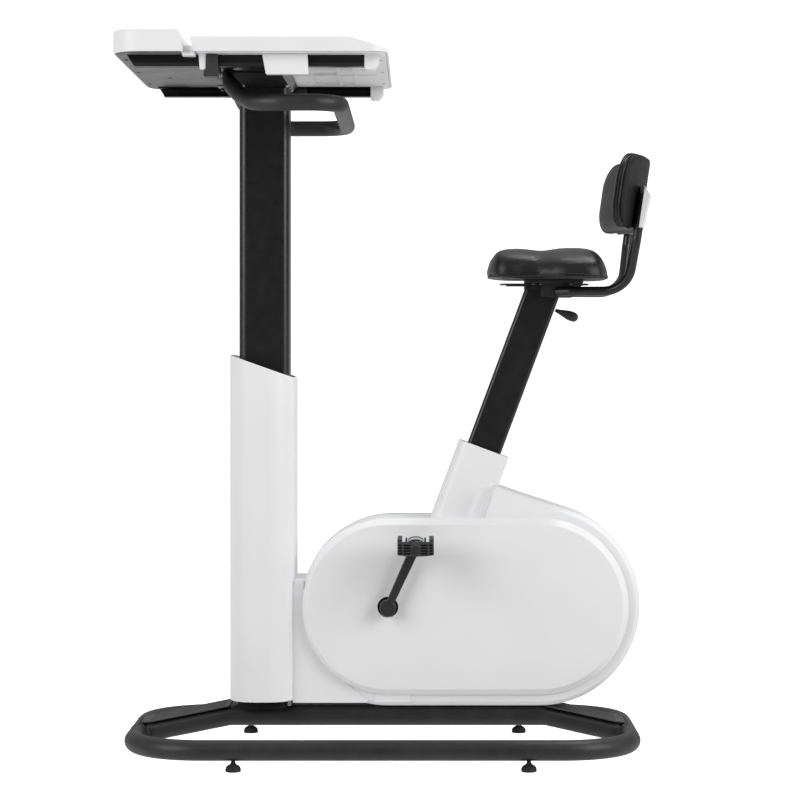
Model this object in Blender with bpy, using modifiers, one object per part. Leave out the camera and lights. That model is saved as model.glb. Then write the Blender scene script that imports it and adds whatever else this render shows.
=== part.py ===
"""Desk exercise bike: a flywheel bike with a saddle and backrest, and a desk on a lifting column.

The rider faces -X, so the desk is at -X and the backrest at +X, and the rider's left is -Y.
The origin is on the floor under the middle of the whole object. Everything is in metres.
"""

import math

import bmesh
import bpy
from mathutils import Matrix, Vector

SIDES = (("left", -1), ("right", 1))
GAP = 0.0003

# Base
RING_RADIUS = 0.020
RING_WALL = 0.002
RING_HEIGHT = 0.0406
RING_FRONT = -0.5016
RING_REAR = 0.4723
RING_HALF_WIDTH = 0.249
RING_CORNER = 0.140
FOOT_FRONT = -0.298
FOOT_REAR = 0.267
SPINE_TOP = 0.097
SPINE_BOTTOM = 0.057
SPINE_HALF_WIDTH = 0.050
SPINE_WALL = 0.0025
SPINE_BEND_FRONT = -0.319
SPINE_BEND_REAR = 0.307
RAMP_THICKNESS = 0.003
RAMP_HALF_WIDTH = 0.054
RAMP_SHORT = 0.003

# Lifting column
COLUMN_X = -0.252
COLUMN_SIZE = (0.100, 0.090)
COLUMN_WALL = 0.003
COLUMN_TOP = 1.329
COLUMN_BOTTOM = 0.530
COVER_X = -0.254
COVER_SIZE = (0.128, 0.228)
COVER_WALL = 0.003
COVER_BOTTOM = 0.108
COVER_TOP_FRONT = 0.797
COVER_TOP_REAR = 0.751
COVER_CORNER = 0.050

# Drive housing, whose two round ends are centred on the crank and on the flywheel
CRANK_AXIS = (-0.0046, 0.299)
WHEEL_AXIS = (0.297, 0.299)
BODY_RADIUS = 0.1985
BODY_TOP_RADIUS = 0.173
BODY_HALF_WIDTH = 0.078
BODY_WALL = 0.003
NECK_FRONT = -0.1893
NECK_TOP = 0.352
NECK_HALF_WIDTH = 0.080
TAIL_TOP = (0.2075, 0.5368)
TAIL_START_ANGLE = 69
POD_RADIUS = 0.175
POD_FACE_RADIUS = 0.162
POD_FACE = 0.097
POD_OPENING = 0.150

# Crank and pedals
CRANK_LENGTH = 0.133
CRANK_LEAN = math.radians(24.5)
CRANK_HOLE = 0.02025
CRANK_FACE = 0.1253
SPINDLE_RADIUS = 0.0095
BEARING_RADIUS = 0.021
PEDAL_MIDDLE = 0.180
PEDAL_SIZE = (0.070, 0.098, 0.028)
PULLEY_RADIUS = 0.085
WHEEL_PULLEY_RADIUS = 0.022
BELT_SPAN = (0.042, 0.054)
FLYWHEEL_RADIUS = 0.150
AXLE_RADIUS = 0.006

# Seat, whose post leans back
POST_LEAN = math.radians(20.46)
POST_AXIS = (0.1973, 0.6353)
POST_SIZE = (0.070, 0.040)
POST_TOP = 0.927
POST_BOTTOM = -0.330
SLEEVE_LENGTH = 0.106
TRACK_SPAN = (0.219, 0.397)
TRACK_TOP = 0.9392
TRACK_HALF_WIDTH = 0.028
LIP_OUTSIDE = 0.0346
SADDLE_FRONT = 0.1896
SADDLE_REAR = 0.429
SADDLE_HALF_WIDTH = 0.125
SADDLE_PAN = 0.9476
BACKREST_LEAN = math.radians(8.2)
BACKREST_TUBE_Y = 0.120
BACKREST_TUBE_RADIUS = 0.0095
BACKREST_TUBE_HEIGHT = 0.9212
BACKREST_BOTTOM = 1.047
BACKREST_TOP = 1.190
BACKREST_MIDDLE = (BACKREST_BOTTOM + BACKREST_TOP) / 2
BACKREST_HALF_WIDTH = 0.187
BACKREST_BACK = 0.512
BACKREST_SHELL = 0.006
BACKREST_CORNER = 0.050
BRACKET_HALF_WIDTH = 0.106
BRACKET_HEIGHTS = (1.051, 1.134)
LEVER_ROOT = (0.3305, 0, 0.8860)
LEVER_TIP = (0.3760, 0, 0.8690)

# Desk
DESK_FRONT = -0.523
DESK_REAR = -0.001
DESK_HALF_WIDTH = 0.333
DESK_TOP = 1.396
LEDGE_TOP = 1.410
DESK_BOTTOM = 1.366
DESK_WALL = 0.004
SLOT_BOTTOM = 1.3575
SLOT_LEAN = math.radians(14)
LEDGE_REAR = -0.397
LEDGE_FOOT = LEDGE_REAR + math.tan(SLOT_LEAN) * (LEDGE_TOP - DESK_BOTTOM)
DECK_FRONT = -0.3747
DECK_FOOT = DECK_FRONT + math.tan(SLOT_LEAN) * (DESK_TOP - DESK_BOTTOM)
RAIL_Y = 0.277
RAIL_BOTTOM = 1.343
RAIL_TOP = 1.3637
RAIL_FRONT = -0.496
RAIL_REAR = -0.0465
PANEL_HEIGHTS = (1.3640, 1.3675)
HANDLEBAR_RADIUS = 0.01625
HANDLEBAR_WALL = 0.002
HANDLEBAR_HEIGHT = 1.276

# What the lifting column carries under the desk
HEAD_SIZE = (0.158, 0.230)
CARRIAGE_SPAN = (-0.330, -0.171)
CARRIAGE_HALF_WIDTH = 0.2615
CARRIAGE_BOTTOM = 1.349
CARRIAGE_WALL = 0.003
STOP_FRONT = -0.349

FINISHES = {
    "white_plastic": ((0.78, 0.78, 0.79), 0.38, 0.0),
    "black_metal": ((0.014, 0.014, 0.015), 0.40, 0.0),
    "black_plastic": ((0.020, 0.020, 0.021), 0.50, 0.0),
    "grey_plastic": ((0.060, 0.060, 0.062), 0.55, 0.0),
    "panel_grey": ((0.30, 0.30, 0.31), 0.55, 0.0),
    "saddle_vinyl": ((0.016, 0.016, 0.017), 0.45, 0.0),
    "foot_rubber": ((0.012, 0.012, 0.012), 0.75, 0.0),
    "steel": ((0.56, 0.56, 0.57), 0.30, 1.0),
    "cast_iron": ((0.08, 0.08, 0.085), 0.60, 1.0),
    "belt_rubber": ((0.015, 0.015, 0.015), 0.70, 0.0),
}


def clear_scene():
    for obj in list(bpy.data.objects):
        bpy.data.objects.remove(obj, do_unlink=True)


def new_collection(name):
    collection = bpy.data.collections.new(name)
    bpy.context.scene.collection.children.link(collection)
    return collection


clear_scene()
PARTS = new_collection("desk_exercise_bike")
CUTTERS = new_collection("cutters")


def material_for(name, finish):
    colour, roughness, metallic = FINISHES[finish]
    material = bpy.data.materials.new(f"{name}_{finish}")
    material.use_nodes = True
    shader = material.node_tree.nodes["Principled BSDF"]
    shader.inputs["Base Color"].default_value = (*colour, 1)
    shader.inputs["Roughness"].default_value = roughness
    shader.inputs["Metallic"].default_value = metallic
    return material


def place(name, data, finish):
    """A part in its collection, or a cutter where the finish is None."""
    obj = bpy.data.objects.new(name, data)
    if finish is None:
        CUTTERS.objects.link(obj)
        obj.hide_render = True
        obj.display_type = "WIRE"
    else:
        PARTS.objects.link(obj)
        data.materials.append(material_for(name, finish))
    return obj


def shade(mesh):
    mesh.shade_smooth()
    mesh.set_sharp_from_angle(angle=math.radians(35))


def mesh_from(bm, name, finish):
    bmesh.ops.recalc_face_normals(bm, faces=bm.faces)
    mesh = bpy.data.meshes.new(name)
    bm.to_mesh(mesh)
    bm.free()
    shade(mesh)
    return place(name, mesh, finish)


def box(name, x_span, y_span, z_span, finish, bevel=0.0):
    spans = (x_span, y_span, z_span)
    bm = bmesh.new()
    bmesh.ops.create_cube(bm, size=1.0)
    bmesh.ops.scale(bm, vec=[high - low for low, high in spans], verts=bm.verts)
    obj = mesh_from(bm, name, finish)
    obj.location = [(low + high) / 2 for low, high in spans]
    if bevel:
        edge = obj.modifiers.new("edges", "BEVEL")
        edge.width = bevel
        edge.segments = 2
    return obj


def arc(centre, radius, start, end, steps):
    """Points round an arc, with its angles in degrees."""
    points = []
    for i in range(steps + 1):
        angle = math.radians(start + (end - start) * i / steps)
        points.append((centre[0] + radius * math.cos(angle), centre[1] + radius * math.sin(angle)))
    return points


def circle(centre, radius, steps=24):
    return arc(centre, radius, 0, 360, steps)[:-1]


def rounded_rect(x_span, y_span, radii, steps=4):
    """A rectangle with a radius for each corner: front left, front right, rear right, rear left."""
    corners = (
        (x_span[0], y_span[0], 180, radii[0]),
        (x_span[1], y_span[0], 270, radii[3]),
        (x_span[1], y_span[1], 0, radii[2]),
        (x_span[0], y_span[1], 90, radii[1]),
    )
    points = []
    for x, y, start, radius in corners:
        centre = (
            x + (radius if x == x_span[0] else -radius),
            y + (radius if y == y_span[0] else -radius),
        )
        points += arc(centre, radius, start, start + 90, steps)
    return points


def section(size, radius, steps=3):
    half_x, half_y = size[0] / 2, size[1] / 2
    return rounded_rect((-half_x, half_x), (-half_y, half_y), [radius] * 4, steps)


def two_circle_outline(first, first_radius, second, second_radius, steps=12):
    """The outline of a belt round two circles, the first to the left of the second."""
    lean = math.degrees(math.acos((first_radius - second_radius) / (second[0] - first[0])))
    left = arc(first, first_radius, lean, 360 - lean, steps)
    right = arc(second, second_radius, -lean, lean, steps)
    return left + right


AXES = {
    "X": (Vector((1, 0, 0)), Matrix(((0, 0, 1), (1, 0, 0), (0, 1, 0))).to_4x4()),
    "Y": (Vector((0, 1, 0)), Matrix(((1, 0, 0), (0, 0, -1), (0, 1, 0))).to_4x4()),
    "Z": (Vector((0, 0, 1)), Matrix.Identity(4)),
}


def prism(name, outlines, span, axis, finish):
    """Flat outlines, the later ones being holes, extruded over a span of an axis."""
    curve = bpy.data.curves.new(f"{name}_outline", "CURVE")
    curve.dimensions = "2D"
    curve.fill_mode = "BOTH"
    curve.extrude = (span[1] - span[0]) / 2
    for outline in outlines:
        spline = curve.splines.new("POLY")
        spline.points.add(len(outline) - 1)
        for point, (u, v) in zip(spline.points, outline):
            point.co = (u, v, 0, 1)
        spline.use_cyclic_u = True
    direction, turn = AXES[axis]
    flat = bpy.data.objects.new(f"{name}_outline", curve)
    CUTTERS.objects.link(flat)
    flat.matrix_world = Matrix.Translation(direction * (span[0] + span[1]) / 2) @ turn
    bpy.context.view_layer.update()
    graph = bpy.context.evaluated_depsgraph_get()
    mesh = bpy.data.meshes.new_from_object(flat.evaluated_get(graph))
    bm = bmesh.new()
    bm.from_mesh(mesh)
    bmesh.ops.remove_doubles(bm, verts=bm.verts, dist=1e-6)
    obj = mesh_from(bm, name, finish)
    obj.matrix_world = flat.matrix_world
    bpy.data.objects.remove(flat, do_unlink=True)
    return obj


def tube(name, points, radius, finish, cyclic=False, resolution=3):
    curve = bpy.data.curves.new(name, "CURVE")
    curve.dimensions = "3D"
    curve.bevel_depth = radius
    curve.bevel_resolution = resolution
    curve.use_fill_caps = not cyclic
    spline = curve.splines.new("POLY")
    spline.points.add(len(points) - 1)
    for point, position in zip(spline.points, points):
        point.co = (*position, 1)
    spline.use_cyclic_u = cyclic
    spline.use_smooth = True
    return place(name, curve, finish)


def as_mesh(curve, finish):
    """The curve's tube as a mesh with its caps welded on, which takes the curve's name and place."""
    bpy.context.view_layer.update()
    graph = bpy.context.evaluated_depsgraph_get()
    bm = bmesh.new()
    bm.from_mesh(bpy.data.meshes.new_from_object(curve.evaluated_get(graph)))
    bmesh.ops.remove_doubles(bm, verts=bm.verts, dist=1e-6)
    name, where = curve.name, curve.matrix_world.copy()
    bpy.data.objects.remove(curve, do_unlink=True)
    obj = mesh_from(bm, name, finish)
    obj.matrix_world = where
    return obj


def pipe(name, points, radius, wall, finish, cyclic=False, resolution=3):
    """A hollow tube along the points, open at its ends."""
    outer = as_mesh(tube(name, points, radius, None, cyclic, resolution), finish)
    if not cyclic:
        points = list(points)
        points[0] = points[0] + (points[0] - points[1]).normalized() * wall
        points[-1] = points[-1] + (points[-1] - points[-2]).normalized() * wall
    inner = as_mesh(tube(f"{name}_bore", points, radius - wall, None, cyclic, resolution), None)
    cut(outer, inner)
    return outer


def turned(name, profile, centre, axis, finish, steps=24):
    """A profile of (radius, height) turned about an axis. It runs down its outer side."""
    mesh = bpy.data.meshes.new(name)
    edges = [(i, i + 1) for i in range(len(profile) - 1)]
    if profile[0][0] > 0:
        edges.append((len(profile) - 1, 0))
    mesh.from_pydata([(radius, 0, height) for radius, height in profile], edges, [])
    obj = place(name, mesh, finish)
    obj.location = centre
    obj.rotation_mode = "QUATERNION"
    obj.rotation_quaternion = Vector((0, 0, 1)).rotation_difference(axis)
    screw = obj.modifiers.new("turn", "SCREW")
    screw.steps = steps
    screw.render_steps = steps
    screw.use_merge_vertices = True
    screw.merge_threshold = 1e-5
    screw.use_smooth_shade = False
    return obj


def rod_profile(radius, low, high):
    return [(0, high), (radius, high), (radius, low), (0, low)]


def pipe_profile(outer, inner, low, high):
    return [(outer, high), (outer, low), (inner, low), (inner, high)]


def cup_profile(outer, inner, low, high):
    """A pipe that is closed below."""
    floor = low + 0.010
    return [(0, floor), (inner, floor), (inner, high), (outer, high), (outer, low), (0, low)]


def loft(name, rings, finish, closed=False):
    """A skin over rings of as many points each. The ends are capped unless the last meets the first."""
    bm = bmesh.new()
    rows = [[bm.verts.new(point) for point in ring] for ring in rings]
    count = len(rows[0])
    for low, high in zip(rows, rows[1:] + rows[:1] if closed else rows[1:]):
        for i in range(count):
            j = (i + 1) % count
            bm.faces.new((low[i], low[j], high[j], high[i]))
    if not closed:
        bm.faces.new(list(reversed(rows[0])))
        bm.faces.new(rows[-1])
    return mesh_from(bm, name, finish)


def cut(obj, cutter, operation="DIFFERENCE"):
    change = obj.modifiers.new(operation.lower(), "BOOLEAN")
    change.object = cutter
    change.operation = operation
    change.solver = "EXACT"


def inset(outline, distance):
    """A closed counterclockwise outline moved inwards by a distance."""
    moved = []
    count = len(outline)
    for i, point in enumerate(outline):
        here = Vector(point)
        arriving = (here - Vector(outline[i - 1])).normalized()
        leaving = (Vector(outline[(i + 1) % count]) - here).normalized()
        normal = Vector((-arriving.y, arriving.x))
        middle = (normal + Vector((-leaving.y, leaving.x))).normalized()
        moved.append(tuple(here + middle * distance / max(0.5, middle.dot(normal))))
    return moved


def filleted(corners, radii, steps):
    """The corners joined by straight runs, each inner corner rounded by its own radius."""
    points = [Vector(corners[0])]
    for before, corner, after, radius in zip(corners, corners[1:], corners[2:], radii):
        corner = Vector(corner)
        back = (Vector(before) - corner).normalized()
        ahead = (Vector(after) - corner).normalized()
        half = back.angle(ahead) / 2
        middle = (back + ahead).normalized()
        centre = corner + middle * radius / math.sin(half)
        first = corner + back * radius / math.tan(half) - centre
        axis = first.cross(corner + ahead * radius / math.tan(half) - centre)
        for i in range(steps + 1):
            turn = Matrix.Rotation((math.pi - 2 * half) * i / steps, 3, axis)
            points.append(centre + turn @ first)
    points.append(Vector(corners[-1]))
    return points


def smooth_path(knots, per_span):
    """Points on a Catmull-Rom curve through the knots."""
    knots = [Vector(knot) for knot in knots]
    ends = [2 * knots[0] - knots[1]] + knots + [2 * knots[-1] - knots[-2]]
    points = []
    for a, b, c, d in zip(ends, ends[1:], ends[2:], ends[3:]):
        square, cube = 2 * a - 5 * b + 4 * c - d, 3 * b - a - 3 * c + d
        for i in range(per_span):
            t = i / per_span
            points.append(0.5 * (2 * b + (c - a) * t + square * t**2 + cube * t**3))
    points.append(knots[-1])
    return points


def build_base_ring():
    half = RING_HALF_WIDTH
    outline = rounded_rect((RING_FRONT, RING_REAR), (-half, half), [RING_CORNER] * 4, 7)
    path = [Vector((x, y, RING_HEIGHT)) for x, y in outline]
    ring = pipe("base_ring", path, RING_RADIUS, RING_WALL, "black_metal", True)
    for end, x in (("front", RING_FRONT), ("rear", RING_REAR)):
        drain = prism(f"drain_{end}", [circle((x, 0), 0.004, 8)], (0, RING_HEIGHT), "Z", None)
        cut(ring, drain)


def build_feet():
    """A domed rubber pad on a short thread, which ends just under the ring."""
    top = RING_HEIGHT - RING_RADIUS - GAP
    profile = [(0, top), (0.004, top), (0.004, 0.014), (0.009, 0.0125), (0.014, 0.008)]
    profile += [(0.015, 0.003), (0.015, 0), (0, 0)]
    for end, x in (("front", FOOT_FRONT), ("rear", FOOT_REAR)):
        for side, sign in SIDES:
            where = (x, sign * RING_HALF_WIDTH, 0)
            turned(f"foot_{end}_{side}", profile, where, Vector((0, 0, 1)), "foot_rubber", 16)


def spine_fall(bend, ring_x):
    """How fast the spine's end slopes down from its bend to the top of the ring."""
    return (SPINE_TOP - RING_HEIGHT - RING_RADIUS - GAP) / abs(ring_x - bend)


def spine_profile(margin, past):
    """The spine's side outline, moved in by a margin and run past its ends."""
    front = RING_FRONT + RING_RADIUS + GAP - past
    rear = RING_REAR - RING_RADIUS - GAP + past
    front_drop = spine_fall(SPINE_BEND_FRONT, RING_FRONT) * (SPINE_BEND_FRONT - front)
    rear_drop = spine_fall(SPINE_BEND_REAR, RING_REAR) * (rear - SPINE_BEND_REAR)
    return [
        (front, SPINE_BOTTOM - front_drop + margin),
        (SPINE_BEND_FRONT, SPINE_BOTTOM + margin),
        (SPINE_BEND_REAR, SPINE_BOTTOM + margin),
        (rear, SPINE_BOTTOM - rear_drop + margin),
        (rear, SPINE_TOP - rear_drop - margin),
        (SPINE_BEND_REAR, SPINE_TOP - margin),
        (SPINE_BEND_FRONT, SPINE_TOP - margin),
        (front, SPINE_TOP - front_drop - margin),
    ]


def build_spine():
    half = SPINE_HALF_WIDTH
    inner = half - SPINE_WALL
    spine = prism("base_spine", [spine_profile(0, 0)], (-half, half), "Y", "black_metal")
    hollow = prism("spine_hollow", [spine_profile(SPINE_WALL, 0.01)], (-inner, inner), "Y", None)
    cut(spine, hollow)


def build_ramp(name, bend, ring_x):
    """A flat strip on the spine's sloping end, running out over the ring's cross tube."""
    top = Vector((bend, 0, SPINE_TOP + GAP))
    out = 1 if ring_x > bend else -1
    tilt = math.atan(spine_fall(bend, ring_x))
    length = (abs(ring_x - bend) - RAMP_SHORT) / math.cos(tilt)
    half = RAMP_HALF_WIDTH
    chamfer = 0.018
    outline = [
        (0, -half),
        (out * (length - chamfer), -half),
        (out * length, -half + chamfer),
        (out * length, half - chamfer),
        (out * (length - chamfer), half),
        (0, half),
    ]
    ramp = prism(name, [outline], (0, RAMP_THICKNESS), "Z", "black_plastic")
    tilted = Matrix.Translation(top) @ Matrix.Rotation(out * tilt, 4, "Y")
    ramp.matrix_world = tilted @ ramp.matrix_world


def column_ring(size, radius, height, steps=3):
    return [(COLUMN_X + x, y, height) for x, y in section(size, radius, steps)]


def column_pipe(name, size, radius, wall, low, high, finish):
    inner = (size[0] - 2 * wall, size[1] - 2 * wall)
    rings = [
        column_ring(size, radius, low),
        column_ring(size, radius, high),
        column_ring(inner, radius - wall, high),
        column_ring(inner, radius - wall, low),
    ]
    return loft(name, rings, finish, closed=True)


def cover_ring(margin, height):
    """A level ring, or the sloping rim where the height is None."""
    size = (COVER_SIZE[0] - 2 * margin, COVER_SIZE[1] - 2 * margin)
    slope = (COVER_TOP_REAR - COVER_TOP_FRONT) / COVER_SIZE[0]
    ring = []
    for x, y in section(size, COVER_CORNER - margin, 5):
        rim = COVER_TOP_FRONT + slope * (x + COVER_SIZE[0] / 2)
        ring.append((COVER_X + x, y, rim if height is None else height))
    return ring


def build_column():
    """The fixed tube under its cover, the moving column, and the bush that guides it in both."""
    rings = [cover_ring(0, COVER_BOTTOM), cover_ring(0, None), cover_ring(COVER_WALL, None)]
    rings.append(cover_ring(COVER_WALL, COVER_BOTTOM))
    loft("column_cover", rings, "white_plastic", closed=True)
    wall = COLUMN_WALL
    column_pipe("lift_column", COLUMN_SIZE, 0.015, wall, COLUMN_BOTTOM, COLUMN_TOP, "black_metal")
    outer = (COLUMN_SIZE[0] + 0.014, COLUMN_SIZE[1] + 0.014)
    column_pipe("column_tube", outer, 0.020, wall, SPINE_TOP + GAP, 0.690, "steel")
    hole = (COLUMN_SIZE[0] + 0.002, COLUMN_SIZE[1] + 0.002)
    skirt = (hole[0] + 0.005, hole[1] + 0.005)
    collar_low, collar_high, bush_low = 0.722, 0.728, 0.560
    bush = [
        cover_ring(COVER_WALL + GAP, collar_low),
        cover_ring(COVER_WALL + GAP, collar_high),
        column_ring(hole, 0.016, collar_high, 5),
        column_ring(hole, 0.016, bush_low, 5),
        column_ring(skirt, 0.0185, bush_low, 5),
        column_ring(skirt, 0.0185, collar_low, 5),
    ]
    loft("column_bush", bush, "black_plastic", closed=True)


def build_lift_spring():
    """A gas spring inside the column: its cylinder stands on the spine and its rod hangs from the head."""
    foot = (COLUMN_X, 0, 0)
    up = Vector((0, 0, 1))
    low = SPINE_TOP + GAP
    turned("lift_spring", cup_profile(0.014, 0.008, low, 0.640), foot, up, "steel", 12)
    turned("lift_rod", rod_profile(0.005, 0.600, COLUMN_TOP), foot, up, "steel", 12)


def head_loft(name, stations, finish):
    rings = []
    for size, height in stations:
        rings.append([(COLUMN_X + u, v, height) for u, v in section(size, 0.008, 2)])
    return loft(name, rings, finish)


def build_column_head():
    """The hollow bracket that flares from the column to the carriage, closed below."""
    low, high = COLUMN_TOP + GAP, CARRIAGE_BOTTOM - GAP
    outer = (((0.108, 0.098), low), ((0.116, 0.110), low + 0.004), (HEAD_SIZE, high))
    mouth = (HEAD_SIZE[0] - 0.006, HEAD_SIZE[1] - 0.006)
    hollow = (((0.108, 0.102), low + 0.006), (mouth, high + 0.001))
    cut(head_loft("column_head", outer, "black_metal"), head_loft("head_hollow", hollow, None))


def build_carriage():
    """The pressed steel pan that rides in the rails, with a plastic slider on each side and a stop block."""
    low, high = CARRIAGE_BOTTOM, CARRIAGE_BOTTOM + 0.0115
    half, wall = CARRIAGE_HALF_WIDTH, CARRIAGE_WALL
    front, rear = CARRIAGE_SPAN
    pan = box("carriage", CARRIAGE_SPAN, (-half, half), (low, high), "black_metal", 0.001)
    inner = (-half + wall, half - wall)
    cut(pan, box("carriage_pocket", (front + wall, rear - wall), inner, (low + wall, high + wall), None))
    for side, sign in SIDES:
        y_span = sorted((sign * (half + 0.0005), sign * (half + 0.026)))
        z_span = (RAIL_BOTTOM + 0.0038, RAIL_TOP - 0.0035)
        box(f"slider_{side}", (front + 0.008, rear - 0.009), y_span, z_span, "black_plastic", 0.001)
    near, far = -0.312, -0.215
    arm = box("stop_block", (STOP_FRONT, -0.3225), (near, far), (1.3210, 1.3340), "grey_plastic")
    lug = box("stop_lug", (STOP_FRONT + 0.005, -0.3225), (near, -0.2955), (1.3280, 1.3620), None)
    link = box("stop_link", (STOP_FRONT + 0.004, -0.3225), (-0.250, far), (1.3280, low - GAP), None)
    cut(arm, lug, "UNION")
    cut(arm, link, "UNION")


def build_handlebar():
    """One bent tube: two risers from under the carriage, two side grips and a rear grip."""
    knots = [
        (-0.326, -0.112, CARRIAGE_BOTTOM - 2 * GAP - HANDLEBAR_RADIUS),
        (-0.306, -0.158, 1.3140),
        (-0.286, -0.204, 1.2930),
        (-0.258, -0.246, 1.2800),
        (-0.218, -0.270, HANDLEBAR_HEIGHT),
        (-0.185, -0.275, HANDLEBAR_HEIGHT),
    ]
    near = smooth_path(knots, 3)
    corner = arc((-0.154, -0.215), 0.060, 270, 360, 6)
    near += [Vector((x, y, HANDLEBAR_HEIGHT)) for x, y in corner]
    far = [Vector((p.x, -p.y, p.z)) for p in reversed(near)]
    pipe("handlebar", near + far, HANDLEBAR_RADIUS, HANDLEBAR_WALL, "black_metal")


def shell_outline():
    """The drive housing's side outline, counterclockwise from the top of its neck."""
    reach = CRANK_AXIS[0] - NECK_FRONT
    neck_angle = 180 + math.degrees(math.acos(reach / BODY_RADIUS))
    top_angle = 180 - math.degrees(math.asin((NECK_TOP - CRANK_AXIS[1]) / BODY_TOP_RADIUS))
    body_top = CRANK_AXIS[1] + BODY_TOP_RADIUS
    outline = [(NECK_FRONT + 0.006, NECK_TOP), (NECK_FRONT, NECK_TOP - 0.006)]
    outline += arc(CRANK_AXIS, BODY_RADIUS, neck_angle, 270, 6)
    outline += arc(WHEEL_AXIS, BODY_RADIUS, -90, TAIL_START_ANGLE, 15)
    outline += [TAIL_TOP, (0.1835, body_top)]
    outline += arc(CRANK_AXIS, BODY_TOP_RADIUS, 90, top_angle, 7)
    return outline


def stadium(radius, steps=14):
    return two_circle_outline(CRANK_AXIS, radius, WHEEL_AXIS, radius, steps)


def opening_ring(outline, radius):
    """Each point of the outline brought in to the stadium of this radius."""
    ring = []
    for x, z in outline:
        nearest = Vector((min(max(x, CRANK_AXIS[0]), WHEEL_AXIS[0]), CRANK_AXIS[1]))
        ring.append(tuple(nearest + (Vector((x, z)) - nearest).normalized() * radius))
    return ring


def build_shells():
    outline = shell_outline()
    wall = BODY_WALL
    half = BODY_HALF_WIDTH
    for side, sign in SIDES:
        layers = (
            (outline, GAP / 2),
            (outline, half - 0.018),
            (inset(outline, 0.004), half - 0.006),
            (inset(outline, 0.014), half),
            (opening_ring(outline, POD_OPENING), half),
            (opening_ring(outline, POD_OPENING), half - wall),
            (inset(outline, 0.015), half - wall),
            (inset(outline, wall), half - 0.018),
            (inset(outline, wall), GAP / 2),
        )
        rings = [[(x, sign * y, z) for x, z in ring] for ring, y in layers]
        shell = loft(f"shell_{side}", rings, "white_plastic", closed=True)
        cut(shell, bpy.data.objects["seat_tube_space"])


def build_pods():
    """The side covers, each a dished stadium with a hole for the crank."""
    wall = BODY_WALL
    rim = BODY_HALF_WIDTH + GAP
    for side, sign in SIDES:
        layers = (
            (POD_FACE_RADIUS - 0.001, POD_FACE - wall),
            (POD_RADIUS - wall, 0.086),
            (POD_RADIUS - wall, rim),
            (POD_RADIUS, rim),
            (POD_RADIUS, 0.0860),
            (POD_RADIUS - 0.0025, 0.0895),
            (POD_FACE_RADIUS + 0.002, POD_FACE - 0.0005),
            (POD_FACE_RADIUS, POD_FACE),
        )
        rings = [[(x, sign * y, z) for x, z in stadium(radius)] for radius, y in layers]
        pod = loft(f"pod_{side}", rings, "white_plastic")
        span = sorted((sign * 0.085, sign * 0.105))
        cut(pod, prism(f"crank_hole_{side}", [circle(CRANK_AXIS, CRANK_HOLE, 20)], span, "Y", None))


def build_neck():
    """The filler between the column cover and the round of the housing, over the spine."""
    low = SPINE_TOP + 0.0015
    radius = BODY_RADIUS + 0.0012
    reach = CRANK_AXIS[0] - NECK_FRONT
    front_angle = 180 + math.degrees(math.acos(reach / radius))
    outline = [(NECK_FRONT, low), (-0.062, low)]
    outline += list(reversed(arc(CRANK_AXIS, radius, front_angle, 253, 6)))
    half = NECK_HALF_WIDTH
    neck = prism("neck_cover", [outline], (-half, half), "Y", "white_plastic")
    hollow = inset(outline, 0.003)
    hollow = [(x, z - 0.006) if z < low + 0.004 else (x, z) for x, z in hollow]
    cut(neck, prism("neck_hollow", [hollow], (-half + 0.003, half - 0.003), "Y", None))


def post_point(along, across, up):
    """A point in the seat post's leaning frame: fore and aft, sideways, and along its axis."""
    lean_x, lean_z = math.sin(POST_LEAN), math.cos(POST_LEAN)
    return (
        POST_AXIS[0] + up * lean_x + along * lean_z,
        across,
        POST_AXIS[1] + up * lean_z - along * lean_x,
    )


def up_to_height(along, height):
    """How far up the post's axis a level plane lies at this point of its section."""
    return (height - POST_AXIS[1] + along * math.sin(POST_LEAN)) / math.cos(POST_LEAN)


def post_ring(size, radius, up=None, height=None, steps=3):
    ring = []
    for a, b in section(size, radius, steps):
        ring.append(post_point(a, b, up if height is None else up_to_height(a, height)))
    return ring


def build_seat_post():
    """The moving post, the fixed tube that it slides in, and that tube's way through the housing."""
    wall = 0.0025
    inner = (POST_SIZE[0] - 2 * wall, POST_SIZE[1] - 2 * wall)
    rings = [
        post_ring(POST_SIZE, 0.006, up=POST_BOTTOM),
        post_ring(POST_SIZE, 0.006, height=POST_TOP),
        post_ring(inner, 0.0035, height=POST_TOP),
        post_ring(inner, 0.0035, up=POST_BOTTOM),
    ]
    loft("seat_post", rings, "black_metal", closed=True)
    outer = (POST_SIZE[0] + 0.007, POST_SIZE[1] + 0.007)
    bore = (POST_SIZE[0] + 0.001, POST_SIZE[1] + 0.001)
    top = -0.055
    rings = [
        post_ring(outer, 0.009, height=SPINE_TOP + GAP),
        post_ring(outer, 0.009, up=top),
        post_ring(bore, 0.0065, up=top),
        post_ring(bore, 0.0065, height=SPINE_TOP + GAP),
    ]
    loft("seat_tube", rings, "steel", closed=True)
    space = (outer[0] + 0.001, outer[1] + 0.001)
    rings = [post_ring(space, 0.0095, up=-0.62), post_ring(space, 0.0095, up=0.05)]
    loft("seat_tube_space", rings, None)


def build_seat_spring():
    """A gas spring inside the post: its cylinder is held by the fixed tube and its rod by the post's head."""
    lean = Vector((math.sin(POST_LEAN), 0, math.cos(POST_LEAN)))
    centre = post_point(0, 0, 0)
    turned("seat_spring", cup_profile(0.014, 0.008, -0.560, -0.140), centre, lean, "steel", 12)
    rod_top = up_to_height(0, POST_TOP) - 0.002
    turned("seat_rod", rod_profile(0.005, -0.170, rod_top), centre, lean, "steel", 12)


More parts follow.
